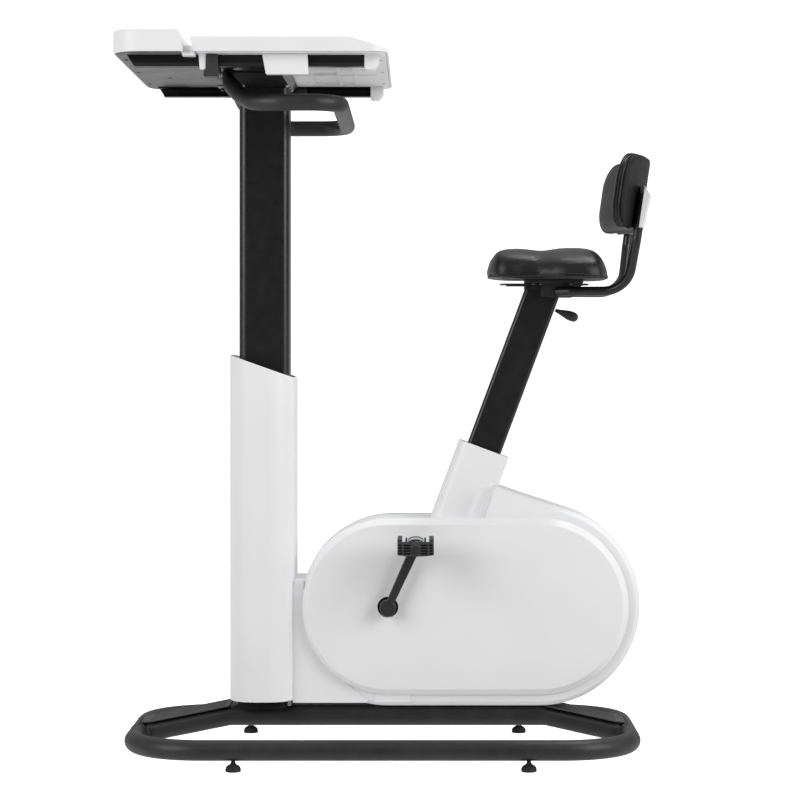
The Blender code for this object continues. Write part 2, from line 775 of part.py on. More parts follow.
def build_sleeve():
    """The shroud round the post, cut off where it stands on the housing."""
    rim = up_to_height(0, 0.609)
    rings = []
    for margin, ups in ((0, (-0.200, rim)), (0.003, (rim, -0.200))):
        for up in ups:
            flare = 0 if up == rim else 0.010
            size = (SLEEVE_LENGTH - 2 * margin, 0.076 + flare - 2 * margin)
            rings.append(post_ring(size, 0.024 - margin, up=up, steps=4))
    sleeve = loft("seat_sleeve", rings, "white_plastic", closed=True)
    half = BODY_HALF_WIDTH
    body = prism("housing_space", [inset(shell_outline(), -0.0004)], (-half, half), "Y", None)
    cut(sleeve, body)


def build_seat_head():
    """The plate that tops the post, with the track that the saddle slides along."""
    low = TRACK_TOP - 0.003
    head = box("seat_head", (0.268, 0.331), (-0.026, 0.026), (POST_TOP + GAP, low + 0.001), "black_metal")
    half = TRACK_HALF_WIDTH
    cut(head, box("seat_track", TRACK_SPAN, (-half, half), (low, TRACK_TOP), None), "UNION")


def build_saddle_base():
    """The block under the saddle, whose lips reach down round the track and hold the backrest's tubes."""
    low, high = TRACK_TOP + GAP, SADDLE_PAN - 2 * GAP
    block = box("saddle_base", (0.269, 0.385), (-0.046, 0.046), (low, high), "black_plastic")
    for side, sign in SIDES:
        y_span = sorted((sign * (TRACK_HALF_WIDTH + 2 * GAP), sign * LIP_OUTSIDE))
        z_span = (BACKREST_TUBE_HEIGHT - BACKREST_TUBE_RADIUS, low + 0.003)
        cut(block, box(f"lip_{side}", (0.300, 0.366), y_span, z_span, None), "UNION")


def saddle_width(x):
    """Half the saddle's width: a broad rear lobe, a slight waist and a narrower front lobe."""
    t = (x - SADDLE_FRONT) / (SADDLE_REAR - SADDLE_FRONT)
    front = 0.100 * math.exp(-(((t - 0.24) / 0.30) ** 4))
    rear = SADDLE_HALF_WIDTH * math.exp(-(((t - 0.73) / 0.36) ** 4))
    return max(front, rear, 0.70 * (front + rear))


def saddle_top(x):
    """The height of the saddle's crown, with a dip between its two lobes."""
    t = (x - SADDLE_FRONT) / (SADDLE_REAR - SADDLE_FRONT)
    knots = ((0, 0.962), (0.06, 0.990), (0.14, 1.001), (0.24, 1.004), (0.43, 1.000), (0.60, 1.004))
    knots += ((0.76, 1.007), (0.88, 1.000), (0.96, 0.985), (1, 0.957))
    for (t0, z0), (t1, z1) in zip(knots, knots[1:]):
        if t <= t1:
            return z0 + (z1 - z0) * (t - t0) / (t1 - t0)
    return knots[-1][1]


def saddle_section(x):
    """A closed ring across the saddle: flat seat pan, lip, bulging side and crowned top."""
    width, top = saddle_width(x), saddle_top(x)
    t = (x - SADDLE_FRONT) / (SADDLE_REAR - SADDLE_FRONT)
    low = 0.949 - 0.007 * math.sin(math.pi * min(1, 1.4 * t))
    pan = SADDLE_PAN if 0.15 < t < 0.9 else low + 0.002
    half = [(0, pan), (0.62 * width, pan), (0.84 * width, low), (0.95 * width, low + 0.003)]
    side = low + 0.006
    for angle in (15, 33, 50, 66, 80):
        angle = math.radians(angle)
        half.append((width * math.cos(angle) ** 0.55, side + (top - side) * math.sin(angle) ** 0.9))
    half.append((0, top))
    left = [(-y, z) for y, z in reversed(half[1:-1])]
    return [(x, y, z) for y, z in half + left]


def build_saddle():
    stations = 18
    rings = []
    for i in range(stations + 1):
        t = 0.5 - 0.5 * math.cos(math.pi * i / stations)
        rings.append(saddle_section(SADDLE_FRONT + (SADDLE_REAR - SADDLE_FRONT) * t))
    loft("saddle", rings, "saddle_vinyl")


def backrest_back(y, z):
    """Where the backrest's back lies: it curves forward to both sides, as a hyperbola, and leans back."""
    bend = 0.100
    forward = 0.505 * (math.hypot(y, bend) - bend)
    return BACKREST_BACK - forward + (z - BACKREST_MIDDLE) * math.tan(BACKREST_LEAN)


def backrest_height(y):
    """Half the backrest's height, which its rounded corners take away near the sides."""
    corner = BACKREST_CORNER
    past = max(0, abs(y) - (BACKREST_HALF_WIDTH - corner))
    return BACKREST_TOP - BACKREST_MIDDLE - corner + math.sqrt(max(0, corner**2 - past**2))


def rounder(value, power):
    """A sine or cosine pushed towards 1 or -1 by a power under 1, with 0 kept at 0."""
    return 0 if abs(value) < 0.01 else math.copysign(abs(value) ** power, value)


def backrest_section(y, inner, outer, power):
    """A closed ring up the backrest at y, between two depths in front of its back."""
    half = backrest_height(y)
    ring = []
    for angle in range(0, 360, 30):
        z = BACKREST_MIDDLE + half * rounder(math.sin(math.radians(angle)), 0.35)
        share = 0.5 + 0.5 * rounder(math.cos(math.radians(angle)), power)
        ring.append((backrest_back(y, z) - inner - (outer - inner) * share, y, z))
    return ring


def backrest_stations(half_width):
    """Places across the backrest, closer together towards its sides."""
    angles = (-90, -78, -66, -54, -40, -26, -12, 0, 12, 26, 40, 54, 66, 78, 90)
    return [half_width * math.sin(math.radians(angle)) for angle in angles]


def build_backrest():
    rings = []
    for y in backrest_stations(BACKREST_HALF_WIDTH):
        crown = 0.036 - 0.015 * (abs(y) / BACKREST_HALF_WIDTH) ** 3
        rings.append(backrest_section(y, BACKREST_SHELL + GAP, BACKREST_SHELL + crown, 0.6))
    loft("backrest_pad", rings, "saddle_vinyl")
    stations = backrest_stations(BACKREST_HALF_WIDTH - 0.004)
    loft("backrest_shell", [backrest_section(y, 0, BACKREST_SHELL, 0.2) for y in stations], "black_plastic")


def build_backrest_bracket():
    """The clamp plate behind the backrest, flatter than the backrest's own curve."""
    low, high = BRACKET_HEIGHTS
    rings = []
    for i in range(-3, 4):
        y = BRACKET_HALF_WIDTH * i / 3
        ring = [(backrest_back(y, z) + 2 * GAP, y, z) for z in (low, high)]
        for z in (high - 0.006, low):
            flatter = backrest_back(0, z) + 0.010 - 0.5 * y**2
            ring.append((max(backrest_back(y, z) + 0.006, flatter), y, z))
        rings.append(ring)
    loft("backrest_bracket", rings, "white_plastic")


def build_backrest_tubes():
    """Each tube comes out of a lip, turns back under the saddle and bends up behind the backrest."""
    lean = math.tan(BACKREST_LEAN)
    height = BACKREST_TUBE_HEIGHT
    root_x, rise_x, rise = 0.3335, 0.4695, 0.191
    for side, sign in SIDES:
        y = sign * BACKREST_TUBE_Y
        corners = [
            (root_x, sign * (LIP_OUTSIDE + GAP), height),
            (root_x, y, height),
            (rise_x, y, height),
            (rise_x + lean * rise, y, height + rise),
        ]
        path = filleted(corners, (0.035, 0.062), 6)
        tube(f"backrest_tube_{side}", path, BACKREST_TUBE_RADIUS, "black_metal")


def build_seat_lever():
    """A teardrop paddle on the back of the post, pivoted at its root."""
    root, tip = Vector(LEVER_ROOT), Vector(LEVER_TIP)
    across = Vector((0, 1, 0))
    up = (tip - root).normalized().cross(across)
    stations = (
        (0.00, 0.0030, 0.0060),
        (0.15, 0.0036, 0.0070),
        (0.40, 0.0055, 0.0100),
        (0.70, 0.0088, 0.0125),
        (0.90, 0.0095, 0.0120),
        (1.00, 0.0050, 0.0070),
    )
    rings = []
    for share, height, width in stations:
        centre = root.lerp(tip, share)
        rings.append([centre + up * height * v + across * width * u for u, v in circle((0, 0), 1, 12)])
    loft("seat_lever", rings, "black_plastic")


def crank_tip(sign):
    """The pedal's axis at rest. The left crank points up and back, and the right one down and forward."""
    reach = -sign * CRANK_LENGTH
    return (
        CRANK_AXIS[0] + reach * math.sin(CRANK_LEAN),
        CRANK_AXIS[1] + reach * math.cos(CRANK_LEAN),
    )


def build_crank_axle():
    """The spindle and the belt pulley on it, a rim and a hub joined by a thin web."""
    across = Vector((0, 1, 0))
    centre = (CRANK_AXIS[0], 0, CRANK_AXIS[1])
    turned("crank_spindle", rod_profile(SPINDLE_RADIUS, -CRANK_FACE, CRANK_FACE), centre, across, "steel", 20)
    rim, hub, bore = PULLEY_RADIUS - 0.007, 0.022, SPINDLE_RADIUS + GAP
    near, far = BELT_SPAN[0] - 0.002, BELT_SPAN[1] + 0.002
    web = ((near + far) / 2 - 0.002, (near + far) / 2 + 0.002)
    profile = [(PULLEY_RADIUS, far), (PULLEY_RADIUS, near), (rim, near), (rim, web[0])]
    profile += [(hub, web[0]), (hub, near), (bore, near), (bore, far)]
    profile += [(hub, far), (hub, web[1]), (rim, web[1]), (rim, far)]
    turned("drive_pulley", profile, centre, across, "cast_iron", 32)


def build_cranks():
    """Each arm is one forging with its boss and the spindle that its pedal turns on."""
    for side, sign in SIDES:
        tip = crank_tip(sign)
        reach = Vector(tip) - Vector(CRANK_AXIS)
        angle = math.degrees(math.atan2(reach.y, reach.x))
        outline = arc(CRANK_AXIS, 0.013, angle + 94, angle + 266, 8)
        outline += arc(tip, 0.009, angle - 90, angle + 90, 8)
        bore = circle(CRANK_AXIS, SPINDLE_RADIUS + GAP, 16)
        arm_span = sorted((sign * 0.1115, sign * 0.1240))
        arm = prism(f"crank_{side}", [outline, bore], arm_span, "Y", "black_metal")
        boss_span = sorted((sign * 0.0985, sign * CRANK_FACE))
        boss = [circle(CRANK_AXIS, 0.0150, 20), bore]
        cut(arm, prism(f"crank_boss_{side}", boss, boss_span, "Y", None), "UNION")
        spindle_span = sorted((sign * 0.1180, sign * (PEDAL_MIDDLE + 0.042)))
        spindle = prism(f"pedal_spindle_{side}", [circle(tip, 0.0055, 12)], spindle_span, "Y", None)
        cut(arm, spindle, "UNION")


def build_pedals():
    """Each pedal is an open frame round a barrel that turns on the crank's spindle."""
    length, width, height = PEDAL_SIZE
    for side, sign in SIDES:
        x, z = crank_tip(sign)
        middle = sign * PEDAL_MIDDLE
        rings = []
        for margin, radius, ends in ((0, 0.014, (-1, 1)), (0.007, 0.007, (1, -1))):
            x_span = (x - length / 2 + margin, x + length / 2 - margin)
            y_span = (middle - width / 2 + margin, middle + width / 2 - margin)
            outline = rounded_rect(x_span, y_span, [radius] * 4, 3)
            rings += [[(u, v, z + end * height / 2) for u, v in outline] for end in ends]
        pedal = loft(f"pedal_{side}", rings, "black_plastic", closed=True)
        barrel_span = (middle - width / 2 + 0.001, middle + width / 2 - 0.001)
        barrel = prism(f"pedal_barrel_{side}", [circle((x, z), 0.0120, 12)], barrel_span, "Y", None)
        cut(pedal, barrel, "UNION")
        bore_span = (middle - width / 2 - 0.006, middle + width / 2 + 0.006)
        cut(pedal, prism(f"pedal_bore_{side}", [circle((x, z), 0.0065, 12)], bore_span, "Y", None))


def build_flywheel():
    """A wheel with a heavy rim, a web and a hub, cast with its small pulley, on a fixed axle."""
    across = Vector((0, 1, 0))
    centre = (WHEEL_AXIS[0], 0, WHEEL_AXIS[1])
    radius, pulley = FLYWHEEL_RADIUS, WHEEL_PULLEY_RADIUS
    rim, hub, bore = 0.122, 0.030, AXLE_RADIUS + 0.0008
    far = BELT_SPAN[1] + 0.002
    profile = [(pulley, far), (pulley, 0.036), (hub, 0.036), (hub, 0.003), (rim, 0.003)]
    profile += [(rim, 0.0125), (radius, 0.0125), (radius, -0.0125), (rim, -0.0125)]
    profile += [(rim, -0.003), (hub, -0.003), (hub, -0.0225), (bore, -0.0225), (bore, far)]
    turned("flywheel", profile, centre, across, "cast_iron", 32)
    turned("flywheel_axle", rod_profile(AXLE_RADIUS, -0.0335, 0.0700), centre, across, "steel", 12)


def belt_outline(margin):
    crank, wheel = PULLEY_RADIUS + margin, WHEEL_PULLEY_RADIUS + margin
    return two_circle_outline(CRANK_AXIS, crank, WHEEL_AXIS, wheel, 16)


def build_drive_frame():
    """A bearing tube on a plate that is welded to the seat tube, and an arm on the belt's far side."""
    outside, inside = BEARING_RADIUS + 0.004, BEARING_RADIUS + GAP
    axle_hole = circle(WHEEL_AXIS, AXLE_RADIUS + 0.0004, 12)
    brake = (WHEEL_AXIS[0] + 0.158, WHEEL_AXIS[1])
    bearing_hole = circle(CRANK_AXIS, inside, 20)
    plate = [two_circle_outline(CRANK_AXIS, 0.030, brake, 0.020, 10), bearing_hole, axle_hole]
    frame = prism("drive_frame", plate, (-0.0300, -0.0240), "Y", "steel")
    tube_ring = [circle(CRANK_AXIS, outside, 20), bearing_hole]
    cut(frame, prism("bearing_tube", tube_ring, (-0.0310, 0.0360), "Y", None), "UNION")
    cut(frame, box("frame_tie", (0.116, 0.132), (-0.027, 0.065), (0.270, 0.292), None), "UNION")
    arm = [two_circle_outline((0.124, 0.281), 0.018, WHEEL_AXIS, 0.018, 8), axle_hole]
    cut(frame, prism("frame_arm", arm, (0.062, 0.068), "Y", None), "UNION")
    magnets = arc(WHEEL_AXIS, FLYWHEEL_RADIUS + 0.005, -28, 28, 7)
    magnets += arc(WHEEL_AXIS, FLYWHEEL_RADIUS + 0.022, 28, -28, 7)
    prism("brake_magnets", [magnets], (-0.0237, 0.0160), "Y", "cast_iron")
    prism("drive_belt", [belt_outline(0.0033), belt_outline(0.0008)], BELT_SPAN, "Y", "belt_rubber")
    centre = (CRANK_AXIS[0], 0, CRANK_AXIS[1])
    for side, low, high in (("left", -0.0300, -0.0190), ("right", 0.0240, 0.0350)):
        bearing = pipe_profile(BEARING_RADIUS, SPINDLE_RADIUS + GAP, low, high)
        turned(f"bearing_{side}", bearing, centre, Vector((0, 1, 0)), "steel", 20)


def desk_plan(margin):
    front, rear = 0.055 - margin, 0.035 - margin
    x_span = (DESK_FRONT + margin, DESK_REAR - margin)
    y_span = (-DESK_HALF_WIDTH + margin, DESK_HALF_WIDTH - margin)
    return rounded_rect(x_span, y_span, [front, front, rear, rear], 5)


def desk_piece(name, profile, pocket):
    """A side profile cut to the desk's plan and hollowed from below."""
    half = DESK_HALF_WIDTH + 0.01
    piece = prism(name, [profile], (-half, half), "Y", "white_plastic")
    cut(piece, bpy.data.objects["desk_plan"], "INTERSECT")
    hollow = prism(f"{name}_hollow", [pocket], (-half, half), "Y", None)
    cut(hollow, bpy.data.objects["desk_plan_inner"], "INTERSECT")
    cut(piece, hollow)


def build_ledge():
    """The hollow front ledge, whose leaning rear face is the slot's front wall."""
    rear, top, wall = LEDGE_REAR, LEDGE_TOP, DESK_WALL
    past_front = DESK_FRONT - 0.01
    profile = [
        (past_front, DESK_BOTTOM),
        (LEDGE_FOOT, DESK_BOTTOM),
        (rear, top - 0.002),
        (rear - 0.002, top),
        (DESK_FRONT + 0.008, top - 0.001),
        (past_front, top - 0.010),
    ]
    pocket = [
        (past_front, DESK_BOTTOM - 0.01),
        (LEDGE_FOOT - wall, DESK_BOTTOM - 0.01),
        (rear - wall - 0.001, top - wall - 0.001),
        (past_front, top - wall - 0.001),
    ]
    desk_piece("desk_ledge", profile, pocket)


def build_deck():
    """The hollow rear deck, which falls away to its rear edge."""
    front, top, wall = DECK_FRONT, DESK_TOP, DESK_WALL
    past_rear = DESK_REAR + 0.01
    profile = [
        (DECK_FOOT, DESK_BOTTOM),
        (past_rear, DESK_BOTTOM),
        (past_rear, top - 0.015),
        (DESK_REAR - 0.070, top - 0.0005),
        (DESK_REAR - 0.080, top),
        (front + 0.002, top),
        (front, top - 0.002),
    ]
    pocket = [
        (DECK_FOOT + wall, DESK_BOTTOM - 0.01),
        (past_rear, DESK_BOTTOM - 0.01),
        (past_rear, top - 0.020),
        (DESK_REAR - 0.075, top - wall - 0.001),
        (front + wall + 0.002, top - wall - 0.001),
    ]
    desk_piece("desk_deck", profile, pocket)


def build_slot_liner():
    """The slot's floor, which joins the ledge to the deck and is deeper outside the rails."""
    half = DESK_HALF_WIDTH - 0.012
    x_span = (LEDGE_FOOT - 0.003, DECK_FOOT + 0.003)
    low, high = RAIL_TOP + GAP, DESK_BOTTOM - 2 * GAP
    liner = box("slot_liner", x_span, (-half, half), (low, high), "white_plastic")
    for side, sign in SIDES:
        y_span = sorted((sign * (RAIL_Y + 0.019), sign * half))
        end = box(f"slot_end_{side}", x_span, y_span, (SLOT_BOTTOM, high - 0.0005), None)
        cut(liner, end, "UNION")


def build_desk():
    prism("desk_plan", [desk_plan(0)], (1.30, 1.45), "Z", None)
    prism("desk_plan_inner", [desk_plan(DESK_WALL)], (1.29, 1.46), "Z", None)
    build_ledge()
    build_deck()
    build_slot_liner()
    build_front_panel()
    build_rear_panel()
    for side, sign in SIDES:
        build_rail(side, sign)
    z_span = (1.3250, PANEL_HEIGHTS[0] - GAP)
    box("side_box", (-0.239, -0.1515), (-0.3120, -0.2955), z_span, "white_plastic", 0.0015)


def build_front_panel():
    """The panel that closes the ledge from below."""
    half = DESK_HALF_WIDTH - DESK_WALL - 0.001
    edge = LEDGE_FOOT - 0.009
    round_front = [(x, y) for x, y in desk_plan(DESK_WALL + 0.001) if x < edge - 0.05]
    left = [point for point in round_front if point[1] < 0]
    right = [point for point in round_front if point[1] > 0]
    prism("front_panel", [[(edge, -half), (edge, half)] + right + left], PANEL_HEIGHTS, "Z", "panel_grey")


def build_rear_panel():
    """The panel that closes the deck from below, moulded with the rails' end brackets and two stop posts."""
    half = DESK_HALF_WIDTH - DESK_WALL - 0.001
    edge = DECK_FOOT + 0.006
    round_rear = [(x, y) for x, y in desk_plan(DESK_WALL + 0.001) if x > edge + 0.05]
    left = [point for point in round_rear if point[1] < 0]
    right = [point for point in round_rear if point[1] > 0]
    outline = [(edge, half), (edge, -half)] + left + right
    panel = prism("rear_panel", [outline], PANEL_HEIGHTS, "Z", "white_plastic")
    into_panel = PANEL_HEIGHTS[0] + 0.001
    for side, sign in SIDES:
        y_span = sorted((sign * (RAIL_Y - 0.017), sign * (RAIL_Y + 0.017)))
        end = box(f"rail_end_{side}", (RAIL_REAR + GAP, -0.018), y_span, (1.3360, into_panel), None)
        cut(panel, end, "UNION")
        y_span = sorted((sign * (RAIL_Y + 0.020), sign * (RAIL_Y + 0.032)))
        post = box(f"stop_post_{side}", (-0.3590, -0.3445), y_span, (1.3345, into_panel), None)
        cut(panel, post, "UNION")


def build_rail(side, sign):
    """A channel that opens towards the middle of the desk."""
    out, inner = RAIL_Y + 0.015, RAIL_Y - 0.0145
    low, high = RAIL_BOTTOM, RAIL_TOP
    wall = 0.0025
    outline = [(inner, low), (out, low), (out, high), (inner, high), (inner, high - wall)]
    outline += [(out - wall, high - wall), (out - wall, low + wall), (inner, low + wall)]
    outline = [(sign * y, z) for y, z in outline]
    prism(f"rail_{side}", [outline], (RAIL_FRONT, RAIL_REAR), "X", "black_metal")


def carriers():
    """Each joint's name and parent, a point on its axis, and the pieces that it moves."""
    left, right = crank_tip(-1), crank_tip(1)
    lift = ["lift_column", "column_head", "carriage", "handlebar", "lift_rod"]
    lift += ["slider_left", "slider_right", "stop_block"]
    desk = ["desk_ledge", "desk_deck", "slot_liner", "front_panel", "rear_panel"]
    desk += ["rail_left", "rail_right", "side_box"]
    saddle = ["saddle_base", "saddle", "backrest_tube_left", "backrest_tube_right"]
    saddle += ["backrest_shell", "backrest_pad", "backrest_bracket"]
    crank = ["crank_spindle", "crank_left", "crank_right", "drive_pulley"]
    return (
        ("lift_slide", None, (COLUMN_X, 0, COLUMN_TOP), lift),
        ("desk_slide", "lift_slide", (COLUMN_X, 0, RAIL_BOTTOM), desk),
        ("post_slide", None, (POST_AXIS[0], 0, POST_AXIS[1]), ["seat_post", "seat_head", "seat_rod"]),
        ("saddle_slide", "post_slide", (0.300, 0, TRACK_TOP), saddle),
        ("lever_pivot", "post_slide", (0.3325, 0, 0.8853), ["seat_lever"]),
        ("crank_turn", None, (CRANK_AXIS[0], 0, CRANK_AXIS[1]), crank),
        ("pedal_turn_left", "crank_turn", (left[0], -PEDAL_MIDDLE, left[1]), ["pedal_left"]),
        ("pedal_turn_right", "crank_turn", (right[0], PEDAL_MIDDLE, right[1]), ["pedal_right"]),
        ("flywheel_turn", None, (WHEEL_AXIS[0], 0, WHEEL_AXIS[1]), ["flywheel"]),
    )


def add_carriers():
    """An empty stands on each joint's axis and carries the pieces that the joint moves."""
    for name, parent, where, pieces in carriers():
        empty = bpy.data.objects.new(name, None)
        PARTS.objects.link(empty)
        empty.matrix_world = Matrix.Translation(where)
        if parent:
            empty.parent = bpy.data.objects[parent]
            bpy.context.view_layer.update()
            empty.matrix_parent_inverse = empty.parent.matrix_world.inverted()
        bpy.context.view_layer.update()
        for piece in pieces:
            obj = bpy.data.objects[piece]
            obj.parent = empty
            obj.matrix_parent_inverse = empty.matrix_world.inverted()


def main():
    build_base_ring()
    build_feet()
    build_spine()
    build_ramp("ramp_front", SPINE_BEND_FRONT, RING_FRONT)
    build_ramp("ramp_rear", SPINE_BEND_REAR, RING_REAR)
    build_column()
    build_lift_spring()
    build_column_head()
    build_carriage()
    build_handlebar()
    build_seat_post()
    build_shells()
    build_pods()
    build_neck()
    build_seat_spring()
    build_sleeve()
    build_seat_head()
    build_saddle_base()
    build_saddle()
    build_backrest()
    build_backrest_bracket()
    build_backrest_tubes()
    build_seat_lever()
    build_crank_axle()
    build_cranks()
    build_pedals()
    build_flywheel()
    build_drive_frame()
    build_desk()
    add_carriers()


main()
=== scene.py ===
"""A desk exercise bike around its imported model: a flywheel bike with a backrest, and a desk on a column.

The rider faces -X and the rider's left is -Y. Lengths are in metres, and heights are above the floor.
"""

import math

import bmesh
import bpy
from bpy.props import FloatProperty, FloatVectorProperty, PointerProperty
from mathutils import Matrix, Vector


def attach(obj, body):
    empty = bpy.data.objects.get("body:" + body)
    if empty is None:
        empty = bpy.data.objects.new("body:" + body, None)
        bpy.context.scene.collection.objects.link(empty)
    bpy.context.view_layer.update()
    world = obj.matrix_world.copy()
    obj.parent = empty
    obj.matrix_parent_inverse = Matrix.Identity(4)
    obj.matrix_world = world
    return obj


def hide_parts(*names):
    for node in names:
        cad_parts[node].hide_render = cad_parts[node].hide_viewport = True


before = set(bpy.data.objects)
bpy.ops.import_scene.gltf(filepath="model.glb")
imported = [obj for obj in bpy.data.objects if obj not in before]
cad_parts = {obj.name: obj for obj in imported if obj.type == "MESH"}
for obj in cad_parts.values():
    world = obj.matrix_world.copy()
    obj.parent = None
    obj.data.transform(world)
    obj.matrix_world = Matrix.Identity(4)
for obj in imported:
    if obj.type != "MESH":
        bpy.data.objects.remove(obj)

bl_info = {
    "name": "Desk exercise bike",
    "version": (1, 0, 0),
    "blender": (4, 5, 0),
    "location": "3D View > Sidebar > Desk bike",
    "description": "Builds a desk exercise bike around its packed model",
    "category": "Object",
}

SIDES = (("left", -1), ("right", 1))
ACROSS = Vector((0, 1, 0))
UP = Vector((0, 0, 1))

RING_RADIUS = 0.020
RING_HEIGHT = 0.0406
RING_FRONT = -0.5016
RING_REAR = 0.4723
RING_HALF_WIDTH = 0.249
RING_CORNER = 0.140
SPINE_TOP = 0.097
SPINE_BOTTOM = 0.057
SPINE_CORNER = 0.0165
SPINE_ENDS = (("front", -0.319, RING_FRONT), ("rear", 0.307, RING_REAR))
FOOT_X = {"front": -0.298, "rear": 0.267}

COLUMN_X = -0.252
COLUMN_SIZE = (0.100, 0.090)
COLUMN_CORNER = 0.015
COVER_X = -0.254
COVER_SIZE = (0.128, 0.228)
COVER_BOTTOM = 0.108
COVER_RIM = (0.797, 0.751)

CRANK_AXIS = (-0.0046, 0.299)
WHEEL_AXIS = (0.297, 0.299)
BODY_RADIUS = 0.1985
BODY_TOP_RADIUS = 0.173
BODY_HALF_WIDTH = 0.078
NECK_FRONT = -0.1893
NECK_TOP = 0.352
POD_RADIUS = 0.175
POD_FACE_RADIUS = 0.162
POD_FACE = 0.097

CRANK_LENGTH = 0.133
CRANK_LEAN = math.radians(24.5)
PEDAL_MIDDLE = 0.180

POST_LEAN = math.radians(20.46)
POST_AXIS = (0.1973, 0.6353)
POST_TOP = 0.927
TRACK_SPAN = (0.219, 0.397)
TRACK_TOP = 0.9392
SADDLE_SPAN = (0.1925, 0.4350)
SADDLE_HALF_WIDTH = 0.125
SADDLE_PAN = 0.9476
BACKREST_LEAN = math.radians(8.2)
BACKREST_HEIGHTS = (1.047, 1.190)
BACKREST_MIDDLE = 1.1185
BACKREST_HALF_WIDTH = 0.187
BACKREST_BACK = 0.512
BACKREST_CORNER = 0.050
TUBE_HEIGHT = 0.9212

DESK_SPAN = (-0.523, -0.001)
DESK_HALF_WIDTH = 0.333
DESK_TOP = 1.396
LEDGE_TOP = 1.410
DESK_BOTTOM = 1.366
SLOT_LEAN = math.radians(14)
LEDGE_REAR = -0.397
DECK_FRONT = -0.3747
RAIL_Y = 0.277
RAIL_HEIGHTS = (1.343, 1.3637)
RAIL_SPAN = (-0.496, -0.0465)
PANEL_HEIGHTS = (1.3640, 1.3675)
HANDLEBAR_HEIGHT = 1.276
CARRIAGE_BOTTOM = 1.349


def linear(code):
    """An sRGB hex colour as linear values."""
    shares = [int(code[i : i + 2], 16) / 255 for i in (0, 2, 4)]
    return tuple(s / 12.92 if s <= 0.04045 else ((s + 0.055) / 1.055) ** 2.4 for s in shares)


# Materials


def add_node(tree, kind, inputs=(), **settings):
    """Adds a node with its settings. An input takes a plain value, or a link from another node's socket."""
    node = tree.nodes.new(kind)
    for name, value in settings.items():
        setattr(node, name, value)
    for name, value in dict(inputs).items():
        if isinstance(value, bpy.types.NodeSocket):
            tree.links.new(value, node.inputs[name])
        else:
            node.inputs[name].default_value = value
    return node


def surfaced(name, sockets, shades, patch, roughness, relief, depth):
    """A material that drifts between two shades over a patch's size, and in its roughness, with a relief."""
    material = bpy.data.materials.new(name)
    material.use_nodes = True
    tree = material.node_tree
    shader = tree.nodes["Principled BSDF"]
    for socket, value in sockets.items():
        shader.inputs[socket].default_value = value
    where = add_node(tree, "ShaderNodeTexCoord").outputs["Object"]
    drift = add_node(tree, "ShaderNodeTexNoise", {"Vector": where, "Scale": 1 / patch, "Detail": 3.0})
    levels = {"Value": drift.outputs["Fac"], "From Min": 0.35, "From Max": 0.65}
    share = add_node(tree, "ShaderNodeMapRange", levels)
    ends = {0: share.outputs["Result"], 6: (*shades[0], 1), 7: (*shades[1], 1)}
    blend = add_node(tree, "ShaderNodeMix", ends, data_type="RGBA")
    tree.links.new(blend.outputs[2], shader.inputs["Base Color"])
    handled = add_node(tree, "ShaderNodeTexNoise", {"Vector": where, "Scale": 3 / patch, "Detail": 5.0})
    levels = {"Value": handled.outputs["Fac"], "From Min": 0.3, "From Max": 0.7}
    levels.update({"To Min": roughness[0], "To Max": roughness[1]})
    gloss = add_node(tree, "ShaderNodeMapRange", levels)
    tree.links.new(gloss.outputs["Result"], shader.inputs["Roughness"])
    rise = {"Height": relief(tree, where), "Distance": depth, "Strength": 1.0}
    bump = add_node(tree, "ShaderNodeBump", rise)
    tree.links.new(bump.outputs["Normal"], shader.inputs["Normal"])
    return material


def grain(size, detail=4.0):
    """A fine random relief whose lumps are of this size."""

    def relief(tree, where):
        noise = {"Vector": where, "Scale": 1 / size, "Detail": detail, "Roughness": 0.6}
        return add_node(tree, "ShaderNodeTexNoise", noise).outputs["Fac"]

    return relief


def pebbles(size):
    """Rounded cells of this size with creases between them, as embossed into leathercloth."""

    def relief(tree, where):
        wobble = add_node(tree, "ShaderNodeTexNoise", {"Vector": where, "Scale": 0.7 / size, "Detail": 2.0})
        amounts = {0: 0.04, 6: where, 7: wobble.outputs["Color"]}
        bent = add_node(tree, "ShaderNodeMix", amounts, data_type="RGBA")
        cells = {"Vector": bent.outputs[2], "Scale": 1 / size}
        edge = add_node(tree, "ShaderNodeTexVoronoi", cells, feature="DISTANCE_TO_EDGE")
        rise = {"Value": edge.outputs["Distance"], "From Min": 0.0, "From Max": 0.22}
        return add_node(tree, "ShaderNodeMapRange", rise, interpolation_type="SMOOTHSTEP").outputs["Result"]

    return relief


def lathe_rings(pitch):
    """Fine tool marks at this pitch along the Y axis, which the bike's turned pieces have in common."""

    def relief(tree, where):
        wave = {"Vector": where, "Scale": 1 / pitch, "Distortion": 1.5, "Detail": 2.0}
        return add_node(tree, "ShaderNodeTexWave", wave, bands_direction="Y").outputs["Fac"]

    return relief


